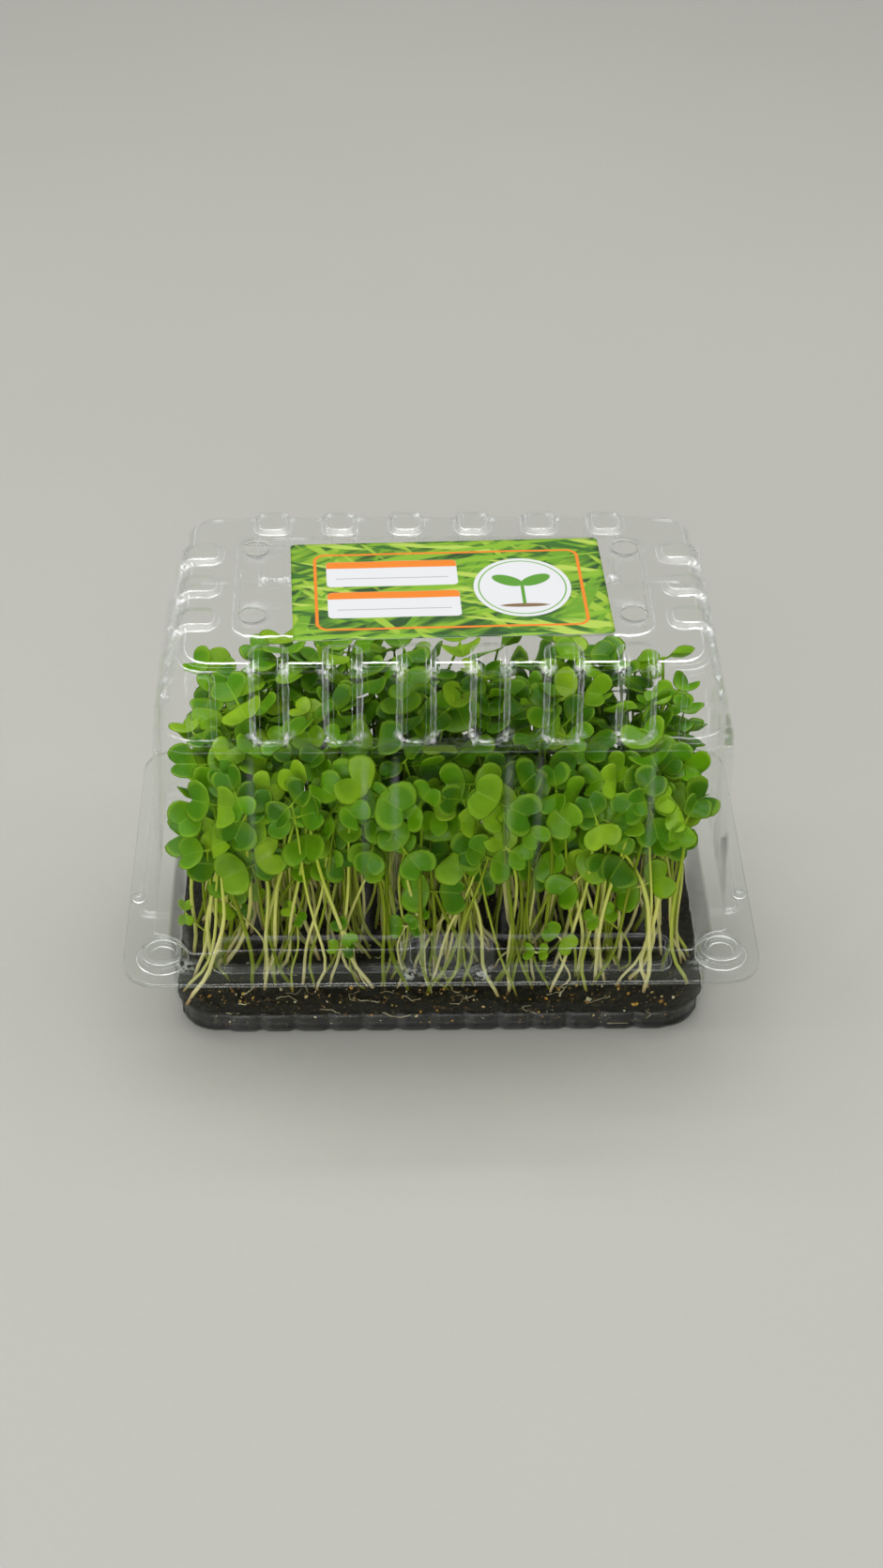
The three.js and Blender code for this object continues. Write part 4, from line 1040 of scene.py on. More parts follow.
soil_points, soil_faces = soil_slab()
make_piece("compost_slab", soil_points, soil_faces, [soil_material()], "tray", nodes=["growing_medium"],
           slot="soil")
SOIL_TOP = soil_points[:SOIL["rows"] * SOIL["columns"]].reshape(SOIL["rows"], SOIL["columns"], 3)


def soil_height(x, y):
    """Height of the slab's top at the nearest grid point."""
    def nearest(place, half, count):
        """Number of the nearest of `count` even places from -half to half."""
        return np.clip(np.round((place / half + 1) / 2 * (count - 1)), 0, count - 1).astype(int)

    return SOIL_TOP[nearest(y, SOIL["half_y"], SOIL["rows"]), nearest(x, soil_edge(y), SOIL["columns"]), 2]


def on_slab_side(rng, count):
    """Places on the slab's front, side and back faces, and which way each face looks."""
    u = rng.random(count)
    front, back = u < 0.42, u >= 0.78
    left = ~front & (u < 0.6)
    aside = ~front & ~back
    z = 1.8 + 9.2 * rng.random(count)
    deep = np.where(z > SOIL_FOOT["z"], 0.0, SOIL_FOOT["inset"])
    span = rng.random(count) * 2 - 1
    way_x, way_y = aside * np.where(left, -1, 1), ~aside * np.where(front, -1, 1)
    x = np.where(aside, way_x * (SOIL["half_x"] - 0.1 - deep), span * 76)
    y = np.where(aside, span * 36, way_y * (SOIL["half_y"] - 0.1 - deep))
    return np.stack([x, y, z], 1), np.stack([way_x, way_y, 0 * x], 1)


GRAINS = {"on_top": 700, "at_front": 300, "on_sides": 300, "large": 26, "half_x": 84, "half_y": 44.5}


def crumbs():
    """Perlite, bark and seed hulls: eight-faced grains, each pulled out of true by its own draw."""
    rng = np.random.default_rng(77)
    top_count = GRAINS["on_top"]
    x = (rng.random(top_count) * 2 - 1) * GRAINS["half_x"]
    y = (rng.random(top_count) * 2 - 1) * GRAINS["half_y"]
    y[:GRAINS["at_front"]] = -45.3 + 9 * rng.random(GRAINS["at_front"]) ** 1.4
    inside = soil_edge(y, SOIL["half_x"] - 2.2)
    x = np.clip(x, -inside, inside)
    sides, way = on_slab_side(rng, GRAINS["on_sides"])
    centres = np.concatenate([np.stack([x, y, soil_height(x, y) + 0.15], 1), sides + way * 0.05])
    count = len(centres)
    size = 0.2 + 0.62 * rng.random(count) ** 3
    size[:GRAINS["large"]] = 0.6 + 0.6 * rng.random(GRAINS["large"])
    star = np.array([[1, 0, 0], [0, 1, 0], [-1, 0, 0], [0, -1, 0], [0, 0, 1], [0, 0, -1]], float)
    stretch = 0.6 + 0.8 * rng.random((count, 1, 3))
    shape = star * stretch + 0.25 * (rng.random((count, 6, 3)) - 0.5)
    turn = np.linalg.qr(rng.standard_normal((count, 3, 3)))[0]
    turn *= np.sign(np.linalg.det(turn))[:, None, None]
    points = np.einsum("nij,nkj->nki", turn, shape) * size[:, None, None]
    points[top_count:] *= np.where(np.abs(way[:, None]) > 0.5, 0.35, 1.0)  # pressed flat by the wall
    points = points + centres[:, None]
    upper = [[k, (k + 1) % 4, 4] for k in range(4)]
    lower = [[(k + 1) % 4, k, 5] for k in range(4)]
    faces = (np.arange(count)[:, None, None] * 6 + np.array(upper + lower)).reshape(-1, 3)
    kind = rng.random(count) * np.where(rng.random(count) < 0.46, 0.34, 1.0)
    return points.reshape(-1, 3), [faces], np.repeat(kind, 6)


def crumb_material():
    """Bark brown, straw, rust and perlite white, by each grain's own mark."""
    mix = Recipe("grains")
    colour = mix.ramp(mix.mark("kind"), (0.0, srgb(48, 40, 24)), (0.26, srgb(104, 76, 34)),
                      (0.42, srgb(220, 164, 58)), (0.7, srgb(238, 206, 116)), (0.88, srgb(238, 230, 190)))
    colour = mix.mix(mix.math("MULTIPLY", mix.noise(1500.0, 2.0), 0.5), colour, srgb(90, 70, 44))
    return mix.finish(mix.skin(colour, 0.8, mix.bump(mix.noise(2400.0, 2.0), 0.4, 0.2)))


grain_points, grain_faces, grain_kinds = crumbs()
make_piece("compost_grains", grain_points, grain_faces, [crumb_material()], "tray", slot="soil",
           marks={"kind": grain_kinds}, smooth=False)


def tubes(paths, radii, sides):
    """Round tubes along n paths at once: `paths` is (n, k, 3), `radii` (n, k). Each ring lies across
    the path's own direction; both ends close on a pole."""
    n, k = paths.shape[:2]
    ahead = np.gradient(paths, axis=1)
    length = np.linalg.norm(ahead, axis=-1, keepdims=True)
    ahead = np.where(length > 1e-5, ahead / np.maximum(length, 1e-5), [0, 0, 1.0])
    guide = np.where(np.abs(ahead[..., :1]) < 0.8, [[[1.0, 0, 0]]], [[[0, 1.0, 0]]])
    u = guide - (guide * ahead).sum(-1, keepdims=True) * ahead
    u /= np.linalg.norm(u, axis=-1, keepdims=True)
    v = np.cross(ahead, u)
    ring = circle(sides)
    around = u[:, :, None] * ring[:, :1] + v[:, :, None] * ring[:, 1:]
    rings = paths[:, :, None] + radii[..., None, None] * around
    foot = paths[:, 0] - ahead[:, 0] * radii[:, :1] * 0.6
    head = paths[:, -1] + ahead[:, -1] * radii[:, -1:] * 0.6
    points = np.concatenate([rings.reshape(n, -1, 3), np.stack([foot, head], 1)], 1)
    shift = (np.arange(n) * (k * sides + 2))[:, None, None]
    quads = (grid_quads(k, sides)[None] + shift).reshape(-1, 4)
    first, last = np.arange(sides), (k - 1) * sides + np.arange(sides)
    caps = np.concatenate([fan(first, k * sides)[:, ::-1], fan(last, k * sides + 1)])
    return points.reshape(-1, 3), [quads, (caps[None] + shift).reshape(-1, 3)]


ROOTS = {"all": 34, "on_top": 22, "steps": 14, "half_x": 80, "front": -45.2, "back": 44}
TUB_INNER = {"half_x": 87.3, "half_y": 46.1}


def roots():
    """Fine white roots: wandering lines over the slab's top and down its faces, against the tub."""
    rng = np.random.default_rng(501)
    count, steps, half_x = ROOTS["all"], ROOTS["steps"], ROOTS["half_x"]
    on_top = np.arange(count) < ROOTS["on_top"]
    sides, way = on_slab_side(rng, count)
    x = np.where(on_top, (rng.random(count) * 2 - 1) * half_x, sides[:, 0])
    y = np.where(on_top, -44.6 + 26 * rng.random(count) ** 2, sides[:, 1])
    heading = rng.random(count) * 2 * math.pi
    bends = np.cumsum((rng.random((count, steps)) - 0.5) * 1.3, 1) + heading[:, None]
    step = 0.3 + 0.6 * rng.random((count, 1))
    first, second = np.cumsum(np.cos(bends) * step, 1), np.cumsum(np.sin(bends) * step, 1)
    top_x = np.clip(x[:, None] + first, -half_x, half_x)
    top_y = np.clip(y[:, None] + second, ROOTS["front"], ROOTS["back"])
    top = np.stack([top_x, top_y, soil_height(top_x, top_y) + 0.12], -1)
    z = np.clip(sides[:, 2, None] + second * 0.6, 1.6, 11.4)
    deep = SOIL_FOOT["inset"] * smoothstep(8.4, 7.6, z)
    aside = np.abs(way[:, :1]) > 0.5
    face_x = np.where(aside, way[:, :1] * (SOIL["half_x"] + 0.12 - deep), sides[:, :1] + first)
    face_y = np.where(aside, sides[:, 1:2] + first, way[:, 1:2] * (SOIL["half_y"] + 0.12 - deep))
    face = np.stack([np.clip(face_x, -TUB_INNER["half_x"], TUB_INNER["half_x"]),
                     np.clip(face_y, -TUB_INNER["half_y"], TUB_INNER["half_y"]), z], -1)
    paths = np.where(on_top[:, None, None], top, face)
    radii = (0.12 + 0.24 * rng.random((count, 1)) ** 2) * np.linspace(1.0, 0.5, steps)[None]
    return tubes(paths, radii, 5)


def root_material():
    """Threads from tan to white."""
    mix = Recipe("root_threads")
    colour = mix.ramp(mix.noise(160.0, 3.0), (0.3, srgb(120, 104, 70)), (0.6, srgb(206, 200, 160)))
    return mix.finish(mix.skin(colour, 0.55, mix.bump(mix.noise(1800.0, 2.0), 0.3, 0.1)))


make_piece("root_threads", *roots(), [root_material()], "tray", slot="soil")

# ---- Seedlings ---------------------------------------------------------------------------------

CLEAR_GAP = 2.5  # between the bunches
LEAF_GAP, STEM_GAP, LATE_GAP = 1.15, 0.7, 1.2  # from the added seedlings to the others
LEAF_CHECKS = np.array([  # along and across a leaf, in columns of points
    *[(along_, 0) for along_ in (0.5, 2.7, 5, 7.3, 9.6)],
    *[(along_, s * 2.2) for along_ in (3.6, 6, 8.4, 10.6) for s in (-1, 1)],
    *[(along_, s * 4.4) for along_ in (5.2, 7.4, 9.7) for s in (-1, 1)],
    *[(7.1, s * 5.9) for s in (-1, 1)]], float)


def generator(seed):
    """A repeatable draw from 0 to 1: the minimal-standard generator."""
    state = [seed]

    def draw():
        state[0] = state[0] * 48271 % 2147483647
        return state[0] / 2147483647
    return draw


def draw_seedling(random, cx, cy, index, low_high=None, small=1.0):
    """A bent stem from the root to the tip, and a pair of leaves across the tip. `index` turns it about
    the bunch's middle (cx, cy), `rim` grows towards the front, where the tips hang lower."""
    fan_angle = (index + random() * 0.8) * (2 * math.pi / 3)
    spread = 3 + 9 * random()
    lean = (random() - 0.5) * 14
    rim = max(0, (-cy - 8) / 28)
    low, high = low_high or (62 - 14 * rim, 103 - 29 * rim)
    root = np.array([cx + 1.3 * math.cos(fan_angle), cy + 1.3 * math.sin(fan_angle), 9.0])
    tip_y = cy + spread * math.sin(fan_angle) + (random() - 0.5) * 8
    tip = np.array([cx + spread * math.cos(fan_angle) + lean, tip_y, low + (high - low) * random() ** 0.75])
    bend_x = root[0] + (random() - 0.5) * 10
    bend_y = root[1] + (random() - 0.5) * 8
    bend = np.array([bend_x, bend_y, root[2] + 0.55 * (tip[2] - root[2])])
    tilt = math.radians(8 + 30 * random() + 34 * rim)
    facing = -math.pi / 2 + (random() - 0.5) * (2 if rim > 0.3 else 6)
    normal = np.array([math.sin(tilt) * math.cos(facing), math.sin(tilt) * math.sin(facing), math.cos(tilt)])
    level = np.array([-math.sin(facing), math.cos(facing), 0.0])
    turn = (random() - 0.5) * 2.4
    axis = level * math.cos(turn) + np.cross(normal, level) * math.sin(turn)
    lifts = [(random() - 0.35) * 0.5, (random() - 0.35) * 0.5]
    size = (0.78 + 0.34 * random()) * small
    return {"root": root, "bend": bend, "tip": tip, "normal": normal, "axis": axis, "lifts": lifts,
            "size": size}


def curve(root, bend, tip, t):
    """The quadratic curve root (1 - t)^2 + bend 2 t (1 - t) + tip t^2."""
    return root * (1 - t) ** 2 + bend * 2 * t * (1 - t) + tip * t * t


def check_points(plant):
    """Points along the stem and on both leaves, by which two seedlings are kept apart."""
    length = np.linalg.norm(plant["root"] - plant["bend"]) + np.linalg.norm(plant["bend"] - plant["tip"])
    steps = math.ceil(length / 2.2)
    t = ((np.arange(steps - 4) + 4) / steps)[:, None]
    stem = curve(plant["root"], plant["bend"], plant["tip"], t)
    wide = np.cross(plant["normal"], plant["axis"])
    leaves = []
    for side, lift in ((1, plant["lifts"][0]), (-1, plant["lifts"][1])):
        out = plant["axis"] * side * math.cos(lift) + plant["normal"] * math.sin(lift)
        leaves.append(plant["tip"] + (out * LEAF_CHECKS[:, :1] + wide * LEAF_CHECKS[:, 1:]) * plant["size"])
    return stem, np.concatenate(leaves)


ROOM = {"sweep": 105.2, "top": 107.0, "half_x": 88.6, "half_y": 45.2, "lean": 0.03, "lean_from": 40,
        "corner": 13.35}


def in_canopy(p, sweep=ROOM["sweep"], top=ROOM["top"]):
    """Inside the dome, and inside the arc that the lid's front edge sweeps when it opens. The dome's
    sides lean in with height, and a limit on |x| / 10 + |y| / 8 cuts its corners."""
    x, y, z = p.T
    corner = np.abs(x) / 10 + np.abs(y) / 8
    reach = np.hypot(HINGE_Y - y, z - HINGE_Z)
    limit = sweep - 0.6 * np.maximum(0, np.abs(x) - 78)
    wide = ROOM["half_x"] - ROOM["lean"] * (z - ROOM["lean_from"])
    return ((np.abs(x) < wide) & (np.abs(y) < ROOM["half_y"]) & (corner < ROOM["corner"])
            & (reach < limit) & (z < top)).all()


def near(these, those, gap):
    """True if a point of one set comes within `gap` of a point of the other."""
    low, high = these.min(0) - gap, these.max(0) + gap
    those = those[((those > low) & (those < high)).all(1)]
    if not len(those):
        return False
    away = ((these[:, None] - those[None]) ** 2).sum(-1)
    return bool((away <= gap * gap).any())


BED = {"rows": 5, "columns": 8, "row_pitch": 17.6, "column_pitch": 20.6, "stagger": 3.4, "jitter": 2.6,
       "in_a_bunch": 3, "tries": 40}
BETWEEN = {"wanted": 296, "tries": 9000, "half_x": 82, "front": -41, "deep": 82, "shift": 34}
LATE = {"wanted": 12, "tries": 400, "half_x": 76, "front": -40, "deep": 14, "heights": (24, 44), "small": 0.5}
OPEN_SWEEP = 130  # wider than the lid's: the added seedlings may brush it while it opens


def grow_bunches():
    """The same bunches as the solids have: by row and column, each seedling drawn again until it is
    clear of those before it."""
    random = generator(20611)
    centres, bunches = [], []
    for row in range(BED["rows"]):
        for column in range(BED["columns"]):
            shift = (1 if row % 2 else -1) * BED["stagger"]
            x = (column - 3.5) * BED["column_pitch"] + shift + (random() - 0.5) * BED["jitter"]
            centres.append((x, (row - 2) * BED["row_pitch"] + (random() - 0.5) * BED["jitter"]))
            bunches.append([])
    leaves, stems, owner = np.zeros((0, 3)), np.zeros((0, 3)), np.zeros(0, int)
    for index in range(BED["in_a_bunch"]):
        for number, (cx, cy) in enumerate(centres):
            for _ in range(BED["tries"]):
                plant = draw_seedling(random, cx, cy, index)
                stem, leaf = check_points(plant)
                too_near = (near(leaf, leaves, CLEAR_GAP) or near(leaf, stems, CLEAR_GAP)
                            or near(stem, leaves, CLEAR_GAP) or near(stem, stems[owner != number], CLEAR_GAP))
                if in_canopy(leaf) and not too_near:
                    bunches[number].append(plant)
                    leaves, stems = np.concatenate([leaves, leaf]), np.concatenate([stems, stem])
                    owner = np.concatenate([owner, np.full(len(stem), number)])
                    break
    return bunches, leaves, stems


def grow_between(random, leaves, stems):
    """Seedlings between the bunches, by front-to-back row, so that the tray is as full as a sown one.
    The crown that they stay under falls towards both ends of the tray."""
    rows = [[] for _ in range(BED["rows"])]
    made, tries = 0, 0
    while made < BETWEEN["wanted"] and tries < BETWEEN["tries"]:
        tries += 1
        cx = (random() * 2 - 1) * BETWEEN["half_x"]
        cy = BETWEEN["front"] + BETWEEN["deep"] * random() ** 1.45
        heights = (61, 92) if cy < -16 else None
        plant = draw_seedling(random, cx, cy, int(random() * 3), heights, 0.84 + 0.26 * random())
        plant["root"][0] = min(max(plant["root"][0] + (random() - 0.5) * BETWEEN["shift"], -80), 80)
        plant["bend"][:2] = plant["bend"][:2] * 0.6 + plant["root"][:2] * 0.4
        stem, leaf = check_points(plant)
        crown = 105.5 - 0.36 * max(0, abs(plant["tip"][0]) - 46)
        clear = not near(leaf, leaves, LEAF_GAP) and not near(leaf, stems, STEM_GAP)
        if clear and in_canopy(leaf, OPEN_SWEEP, crown):
            rows[min(len(rows) - 1, int((cy + 44) / BED["row_pitch"]))].append(plant)
            leaves, stems = np.concatenate([leaves, leaf]), np.concatenate([stems, stem])
            made += 1
    return rows, leaves


def grow_late(random, leaves):
    """A few small low seedlings near the front."""
    late = []
    for _ in range(LATE["tries"]):
        if len(late) >= LATE["wanted"]:
            break
        cx, cy = (random() * 2 - 1) * LATE["half_x"], LATE["front"] + LATE["deep"] * random()
        plant = draw_seedling(random, cx, cy, int(random() * 3), LATE["heights"], LATE["small"])
        leaf = check_points(plant)[1]
        if in_canopy(leaf, OPEN_SWEEP) and not near(leaf, leaves, LATE_GAP):
            late.append(plant)
            leaves = np.concatenate([leaves, leaf])
    return late


def leaf_outline(notch, lobe, width, count):
    """Closed outline of one seed leaf (along, across): Catmull-Rom through its control points, from
    the stalk round both lobes with the notch between them. notch, lobe and width are (n,)."""
    base = np.array([[1.5, 0], [1.8, 1.9], [3.1, 4.9], [6.2, 6.9], [9.3, 6.3], [11.2, 4.0], [11.2, 1.4],
                     [10.2, 0]])
    half = np.repeat(base[None], len(notch), 0)
    half[:, 7, 0] = notch
    half[:, 6, 0] = (notch + 12.0 + lobe) / 2
    half[:, 5, 0] = 11.2 + lobe
    half[:, 4, 0] = 9.3 + lobe * 0.5
    half[..., 1] *= width[:, None]
    other = half[:, -2:0:-1] * [1, -1]
    knots = np.concatenate([half, other], 1)
    k = knots.shape[1]
    t = np.arange(count) / count * k
    i, f = np.floor(t).astype(int), (t % 1)[None, :, None]
    p0, p1, p2, p3 = (knots[:, (i + step) % k] for step in (-1, 0, 1, 2))
    square, cube = 2 * p0 - 5 * p1 + 4 * p2 - p3, 3 * p1 - p0 - 3 * p2 + p3
    return 0.5 * (2 * p1 + (p2 - p0) * f + square * f**2 + cube * f**3)


RING_SHARES = np.array([0.34, 0.68, 0.9, 1.0, 0.9, 0.68, 0.34])  # of the way from the middle to the rim
RING_FACES = np.array([1, 1, 1, 0, -1, -1, -1])  # above, at the rim and below
LEAF_SIDES = 22
LEAF_MIDDLE = 6.4  # from the stalk's end
LEAF_WALL, LEAF_YIELD = 44.6, 1.5


def against_wall(y):
    """Past |y| = LEAF_WALL the excess e becomes s (1 - exp(-e / s)), s being LEAF_YIELD: a leaf lies
    against the wall."""
    beyond = np.maximum(np.abs(y) - LEAF_WALL, 0)
    return y - np.sign(y) * (beyond - LEAF_YIELD * (1 - np.exp(-beyond / LEAF_YIELD)))


def leaf_bodies(plants, rng):
    """All seed leaves of `plants`: rings from a middle point to the outline, above and below, a lens in
    section. Height over the leaf's plane is a cup c r^2, a fold along the midrib with a narrow groove
    in it, a curl at the far end and a wave on the edge."""
    tip = np.repeat([p["tip"] for p in plants], 2, 0)
    normal = np.repeat([p["normal"] for p in plants], 2, 0)
    axis = np.repeat([p["axis"] for p in plants], 2, 0)
    lift = np.array([p["lifts"] for p in plants]).reshape(-1)
    size = np.repeat([p["size"] for p in plants], 2)
    side = np.tile([1.0, -1.0], len(plants))
    count = len(side)
    notch, lobe = 9.8 - 2.2 * rng.random(count) ** 1.3, 0.6 * rng.random(count) - 0.2
    outline = leaf_outline(notch, lobe, 0.9 + 0.22 * rng.random(count), LEAF_SIDES)
    centre = np.array([LEAF_MIDDLE, 0.0])
    flat = centre + (outline - centre)[:, None] * RING_SHARES[None, :, None, None]
    poles = np.broadcast_to(centre, (count, 2, 2))
    flat = np.concatenate([flat.reshape(count, -1, 2), poles], 1)
    face = np.concatenate([np.repeat(RING_FACES, LEAF_SIDES), [1, -1]])
    share = np.concatenate([np.repeat(RING_SHARES, LEAF_SIDES), [0, 0]])
    along_, across = flat[..., 0], flat[..., 1]
    cup = (rng.random((count, 1)) - 0.4) * 0.062
    fold = 0.06 + 0.4 * rng.random((count, 1))
    wave = 0.9 * rng.random((count, 1)) * share**3
    angle = np.arctan2(across, along_ - LEAF_MIDDLE)
    curl = -0.010 * rng.random((count, 1)) * np.maximum(along_ - 3, 0) ** 2
    height = (cup * ((along_ - LEAF_MIDDLE) ** 2 + across**2) + fold * np.abs(across) + curl
              + wave * np.sin(3 * angle + 6.3 * rng.random((count, 1))))
    height -= 0.12 * np.exp(-(across / 0.6) ** 2)
    thick = 0.23 * (1 - share**3) + 0.05 * np.exp(-(across / 0.8) ** 2)
    height = height * smoothstep(1.0, 5.0, along_) + face * thick
    out = axis * side[:, None] * np.cos(lift)[:, None] + normal * np.sin(lift)[:, None]
    up = normal * np.cos(lift)[:, None] - axis * (side * np.sin(lift))[:, None]
    wide = np.cross(normal, axis)
    scale = size[:, None, None]
    points = (tip[:, None] + scale * (along_[..., None] * out[:, None] + across[..., None] * wide[:, None])
              + np.sqrt(scale) * height[..., None] * up[:, None])
    block = len(RING_SHARES) * LEAF_SIDES + 2
    quads = grid_quads(len(RING_SHARES), LEAF_SIDES)
    ring = np.arange(LEAF_SIDES)
    lower_ring = (len(RING_SHARES) - 1) * LEAF_SIDES + ring
    triangles = np.concatenate([fan(ring, block - 2)[:, ::-1], fan(lower_ring, block - 1)])
    faces = [group[None] + (np.arange(count) * block)[:, None, None] for group in (quads, triangles)]
    mirrored = side > 0
    for group in faces:
        group[mirrored] = group[mirrored][:, :, ::-1]
    uv = np.stack([along_ / 12, across / 12 + 0.5], -1).reshape(-1, 2)
    tone = np.repeat(rng.random(count), block)
    points[..., 1] = against_wall(points[..., 1])
    stalk_end = tip + out * (2.6 * size)[:, None]
    return points.reshape(-1, 3), [group.reshape(-1, group.shape[-1]) for group in faces], uv, tone, stalk_end


STEM_RINGS, STEM_WALL = 15, 45.3


def stem_paths(plants, rng):
    """Stem centre lines: the curve from root to tip with a slow sideways wander and a hook at the foot,
    kept within the tub's walls."""
    root, bend, tip = (np.array([p[k] for p in plants])[:, None] for k in ("root", "bend", "tip"))
    t = np.linspace(0, 1, STEM_RINGS)[None, :, None]
    phase = 6.3 * rng.random((len(plants), 1, 3))
    sway = np.sin(t * 5.0 + phase) * [1.5, 1.0, 0] * np.sin(math.pi * t)
    hook = np.exp(-(t / 0.12) ** 2) * (rng.random((len(plants), 1, 3)) - 0.5) * [15, 5, 0]
    path = curve(root, bend, tip, t) + sway + hook
    path[..., 1] = np.clip(path[..., 1], -STEM_WALL, STEM_WALL)
    return path


def seedling_piece(name, plants, seed, nodes=()):
    """One bunch: stems, leaf stalks and seed leaves as closed bodies in one mesh."""
    rng = np.random.default_rng(seed)
    thick = (0.46 + 0.24 * rng.random((len(plants), 1))) * np.array([[p["size"]] for p in plants]) ** 0.5
    paths = stem_paths(plants, rng)
    taper = np.interp(np.linspace(0, 1, STEM_RINGS), [0, 0.08, 0.5, 0.92, 1], [0.8, 1.1, 1.0, 0.8, 0.72])
    stems = tubes(paths, thick * taper, 7)
    leaf_points, leaf_faces, uv, tone, stalk_end = leaf_bodies(plants, rng)
    start = np.repeat(np.array([p["tip"] for p in plants]) - np.array([0, 0, 0.5]), 2, 0)
    t = np.linspace(0, 1, 4)[None, :, None]
    stalk_radius = np.repeat(thick, 2, 0) * np.array([[0.78, 0.62, 0.5, 0.3]])
    stalks = tubes(start[:, None] * (1 - t) + stalk_end[:, None] * t, stalk_radius, 6)
    points, faces = join_parts([stems, stalks])
    count = len(points)
    all_faces = [*faces, *(group + count for group in leaf_faces)]
    all_uv = np.concatenate([np.zeros((count, 2)), uv])
    own = rng.random(len(plants)) ** 1.6
    stem_tone = [np.repeat(own, len(part) // len(own)) for part in (stems[0], stalks[0])]
    all_tone = np.concatenate([*stem_tone, tone])
    make_piece(name, np.concatenate([points, leaf_points]), all_faces, [STEM, LEAF], "tray", nodes=nodes,
               slot="seedling", kinds=[0, 0, 1, 1], uv=all_uv, marks={"tone": all_tone})


def leaf_material():
    """Seed leaf: deep to bright green by leaf, paler along the midrib and its forks and at the rim."""
    mix = Recipe("seed_leaf")
    plan = mix.node("SeparateXYZ", {0: mix.node("UVMap", uv_map="plan").outputs[0]})
    u = plan.outputs[0]
    v = mix.math("SUBTRACT", plan.outputs[1], 0.5)
    off = mix.math("ABSOLUTE", v)
    green = mix.ramp(mix.mark("tone"), (0.0, srgb(50, 104, 1)), (0.35, srgb(82, 148, 2)),
                     (0.7, srgb(122, 182, 6)), (1.0, srgb(182, 218, 40)))
    patch = mix.noise(130.0, 3.0)
    green = mix.mix(mix.ramped(patch, 1.6, -0.5), green, srgb(76, 136, 2))
    forks = mix.math("MULTIPLY", mix.math("SUBTRACT", u, mix.math("MULTIPLY", off, 0.75)), 6.5)
    from_fork = mix.math("ABSOLUTE", mix.math("SUBTRACT", mix.math("FRACT", forks), 0.5))
    fork = mix.math("MULTIPLY", mix.ramped(from_fork, -13.0, 1.0), 0.38)
    veins = mix.math("MAXIMUM", mix.ramped(off, -42.0, 1.0), fork)
    near_stalk = mix.ramped(u, -2.2, 1.1)
    green = mix.mix(mix.math("MULTIPLY", near_stalk, 0.5), green, srgb(166, 206, 40))
    colour = mix.mix(mix.math("MULTIPLY", veins, 0.62), green, srgb(168, 210, 60))
    rim_x = mix.math("DIVIDE", mix.math("SUBTRACT", u, 0.54), 0.44)
    rim = mix.ramped(mix.far(rim_x, mix.math("DIVIDE", v, 0.48)), 7.0, -6.3)
    colour = mix.mix(mix.math("MULTIPLY", rim, 0.4), colour, srgb(172, 212, 50))
    normal = mix.bump(mix.math("ADD", mix.math("MULTIPLY", veins, -0.6), mix.noise(900.0, 2.0)), 0.25, 0.25)
    skin = mix.skin(colour, mix.math("MULTIPLY_ADD", patch, 0.25, 0.24), normal, 0.28)
    glow = mix.node("BsdfTranslucent", {"Color": mix.mix(0.6, colour, srgb(214, 240, 4))})
    return mix.finish(mix.node("MixShader", {0: 0.36, 1: skin.outputs[0], 2: glow.outputs[0]}))


def stem_material():
    """Pale stem: cream with a brownish foot, greener towards the leaves and on some plants all the way
    down, with fine lengthwise streaks."""
    mix = Recipe("pale_stem")
    level = mix.math("MULTIPLY", mix.node("SeparateXYZ", {0: mix.place}).outputs[2], 10.0)
    colour = mix.ramp(level, (0.09, srgb(206, 164, 96)), (0.15, srgb(254, 248, 190)),
                      (0.4, srgb(252, 250, 156)), (0.62, srgb(220, 234, 84)), (0.95, srgb(160, 204, 36)))
    greener = mix.ramp(mix.mark("tone"), (0.0, (0.26, 0.36, 0.03, 1)), (0.32, (0.62, 0.72, 0.26, 1)),
                       (0.54, (1, 1, 1, 1)))
    colour = mix.mix(1.0, colour, greener, "MULTIPLY")
    stretched = mix.node("Mapping", {"Vector": mix.place, "Scale": (1, 1, 0.12)}).outputs[0]
    skin = mix.skin(colour, 0.42, mix.bump(mix.noise(2600.0, 2.0, stretched), 0.25, 0.1), 0.15)
    glow = mix.node("BsdfTranslucent", {"Color": colour})
    return mix.finish(mix.node("MixShader", {0: 0.32, 1: skin.outputs[0], 2: glow.outputs[0]}))


STEM, LEAF = stem_material(), leaf_material()
bunches, leaf_marks, stem_marks = grow_bunches()
for number, plants in enumerate(bunches, 1):
    seedling_piece(f"bunch_{number:02d}", plants, 1000 + number, [f"seedlings_{number:02d}"])
random = generator(7331)
between, leaf_marks = grow_between(random, leaf_marks, stem_marks)
for number, plants in enumerate(between, 1):
    if plants:
        seedling_piece(f"row_{number}_between", plants, 2000 + number)
late = grow_late(random, leaf_marks)
if late:
    seedling_piece("late_seedlings", late, 2100)

# ---- Floor, light and camera -------------------------------------------------------------------


def floor_material():
    """Pale smooth table top with a faint grain."""
    mix = Recipe("pale_table")
    cloud = mix.noise(2.2, 4.0)
    grain = mix.noise(420.0, 3.0)
    colour = mix.mix(cloud, srgb(172, 171, 164), srgb(183, 182, 175))
    colour = mix.mix(mix.math("MULTIPLY", grain, 0.16), colour, srgb(156, 155, 148))
    return mix.finish(mix.skin(colour, 0.62, mix.bump(grain, 0.08, 0.2), 0.2))


def make_floor():
    """One flat face 12 m on a side, set back so that it runs out of the picture's top."""
    mesh = bpy.data.meshes.new("table_top")
    mesh.from_pydata([(-6, -5, 0), (6, -5, 0), (6, 7, 0), (-6, 7, 0)], [], [(0, 1, 2, 3)])
    mesh.materials.append(floor_material())
    floor = bpy.data.objects.new("table_top", mesh)
    bpy.context.scene.collection.objects.link(floor)


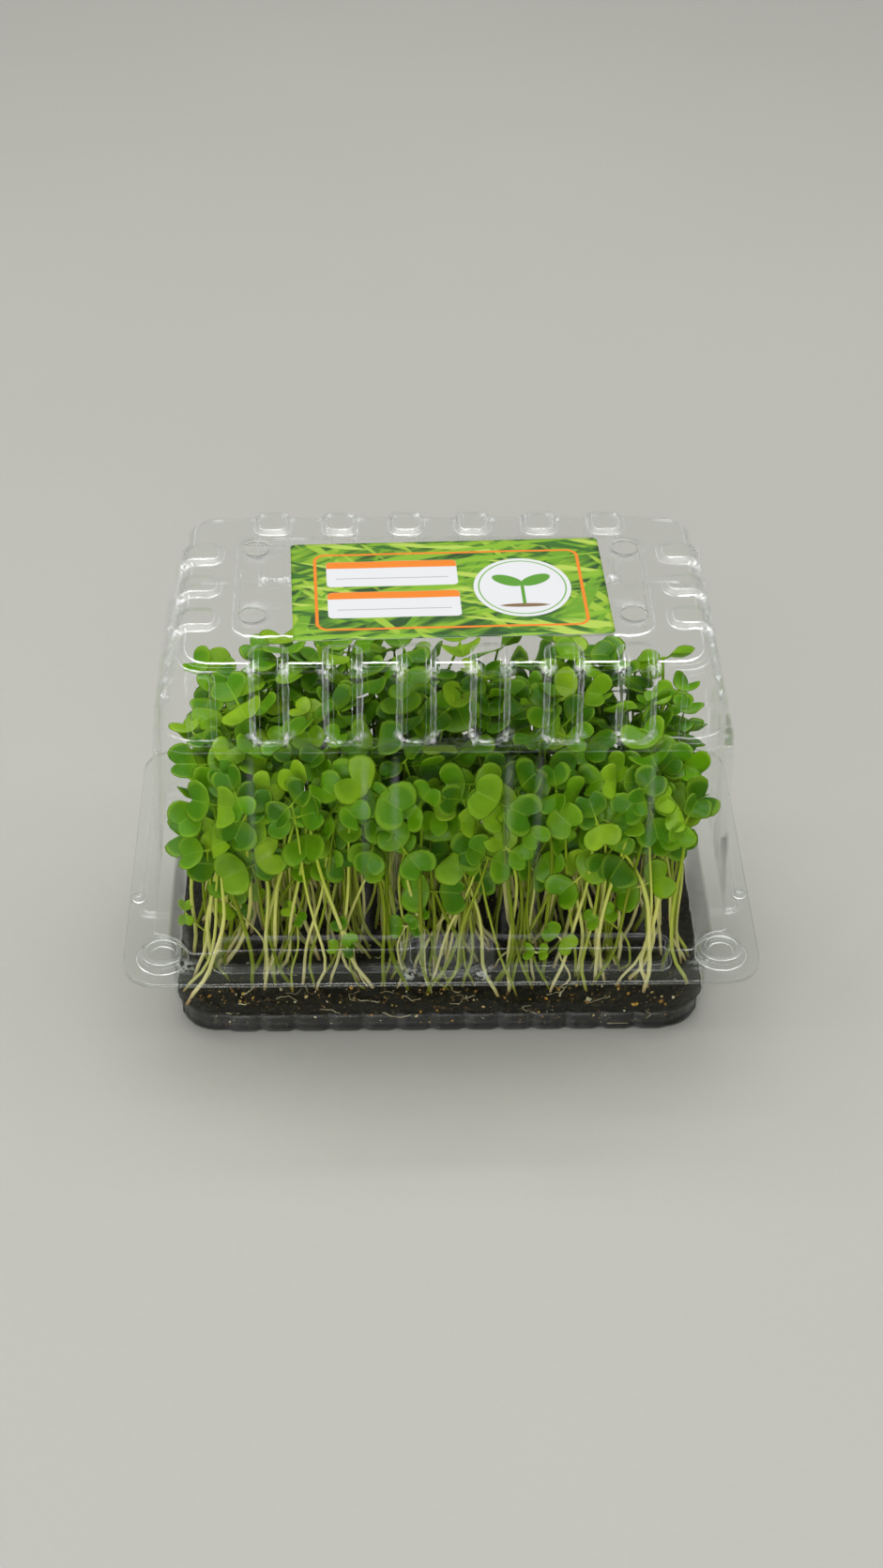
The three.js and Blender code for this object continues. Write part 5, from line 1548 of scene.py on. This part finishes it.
def area_light(name, place, target, size, power):
    """A white rectangular lamp at `place` that faces `target`; size and places in metres."""
    lamp = bpy.data.lights.new(name, "AREA")
    lamp.shape, lamp.size, lamp.size_y, lamp.energy = "RECTANGLE", *size, power
    made = bpy.data.objects.new(name, lamp)
    made.location = place
    made.rotation_euler = (Vector(place) - Vector(target)).to_track_quat("Z", "Y").to_euler()
    bpy.context.scene.collection.objects.link(made)


def make_lights():
    """A wide soft ceiling, a low fill from the front, five tubes whose mirrored lines lie on the plastic,
    and an upright strip at each side."""
    middle = (0, 0, 0.06)
    tube, strip = (0.9, 0.05), (0.06, 0.9)
    for name, place, size, power in (
            ("ceiling_wide", (0.0, 0.42, 1.88), (1.5, 1.1), 19),
            ("front_fill", (-0.35, -1.5, 0.7), (1.3, 0.4), 11),
            ("tube_0", (-0.9, 0.55, 1.5), tube, 3.6), ("tube_1", (0.0, 0.75, 1.6), tube, 3.6),
            ("tube_2", (0.9, 0.4, 1.5), tube, 3.0), ("tube_3", (-0.5, -0.5, 1.6), tube, 2.4),
            ("tube_4", (0.6, -0.6, 1.6), tube, 2.0), ("left_strip", (-1.3, -0.1, 0.8), strip, 2.2),
            ("right_strip", (1.3, -0.2, 0.8), strip, 1.6)):
        area_light(name, place, middle, size, power)


def make_world():
    """An even grey room all round."""
    world = bpy.data.worlds.new("grey_room")
    bpy.context.scene.world = world
    world.use_nodes = True
    background = world.node_tree.nodes["Background"]
    background.inputs["Color"].default_value = (0.62, 0.63, 0.63, 1)
    background.inputs["Strength"].default_value = 0.31


def make_camera():
    """The camera looks down at 37 degrees, a little to the right of square on, with a 60 mm lens."""
    lens = bpy.data.cameras.new("camera")
    lens.sensor_width, lens.lens = 36, 60.03
    lens.clip_start, lens.clip_end = 0.01, 50
    camera = bpy.data.objects.new("camera", lens)
    right = Vector((0.99963977, -0.02443014, 0.01111322))
    up = Vector((0.00589009, 0.60366481, 0.79721647))
    back = -Vector((0.02618477, 0.79686383, -0.60359125))
    turn = Matrix((right, up, back)).transposed().to_4x4()
    camera.matrix_world = Matrix.Translation((-0.021984, -0.688606, 0.589405)) @ turn
    bpy.context.scene.collection.objects.link(camera)
    bpy.context.scene.camera = camera


make_floor()
make_lights()
make_world()
make_camera()
scene = bpy.context.scene
scene.view_settings.view_transform = "Standard"
scene.cycles.transparent_max_bounces = 48
scene.cycles.max_bounces = 6
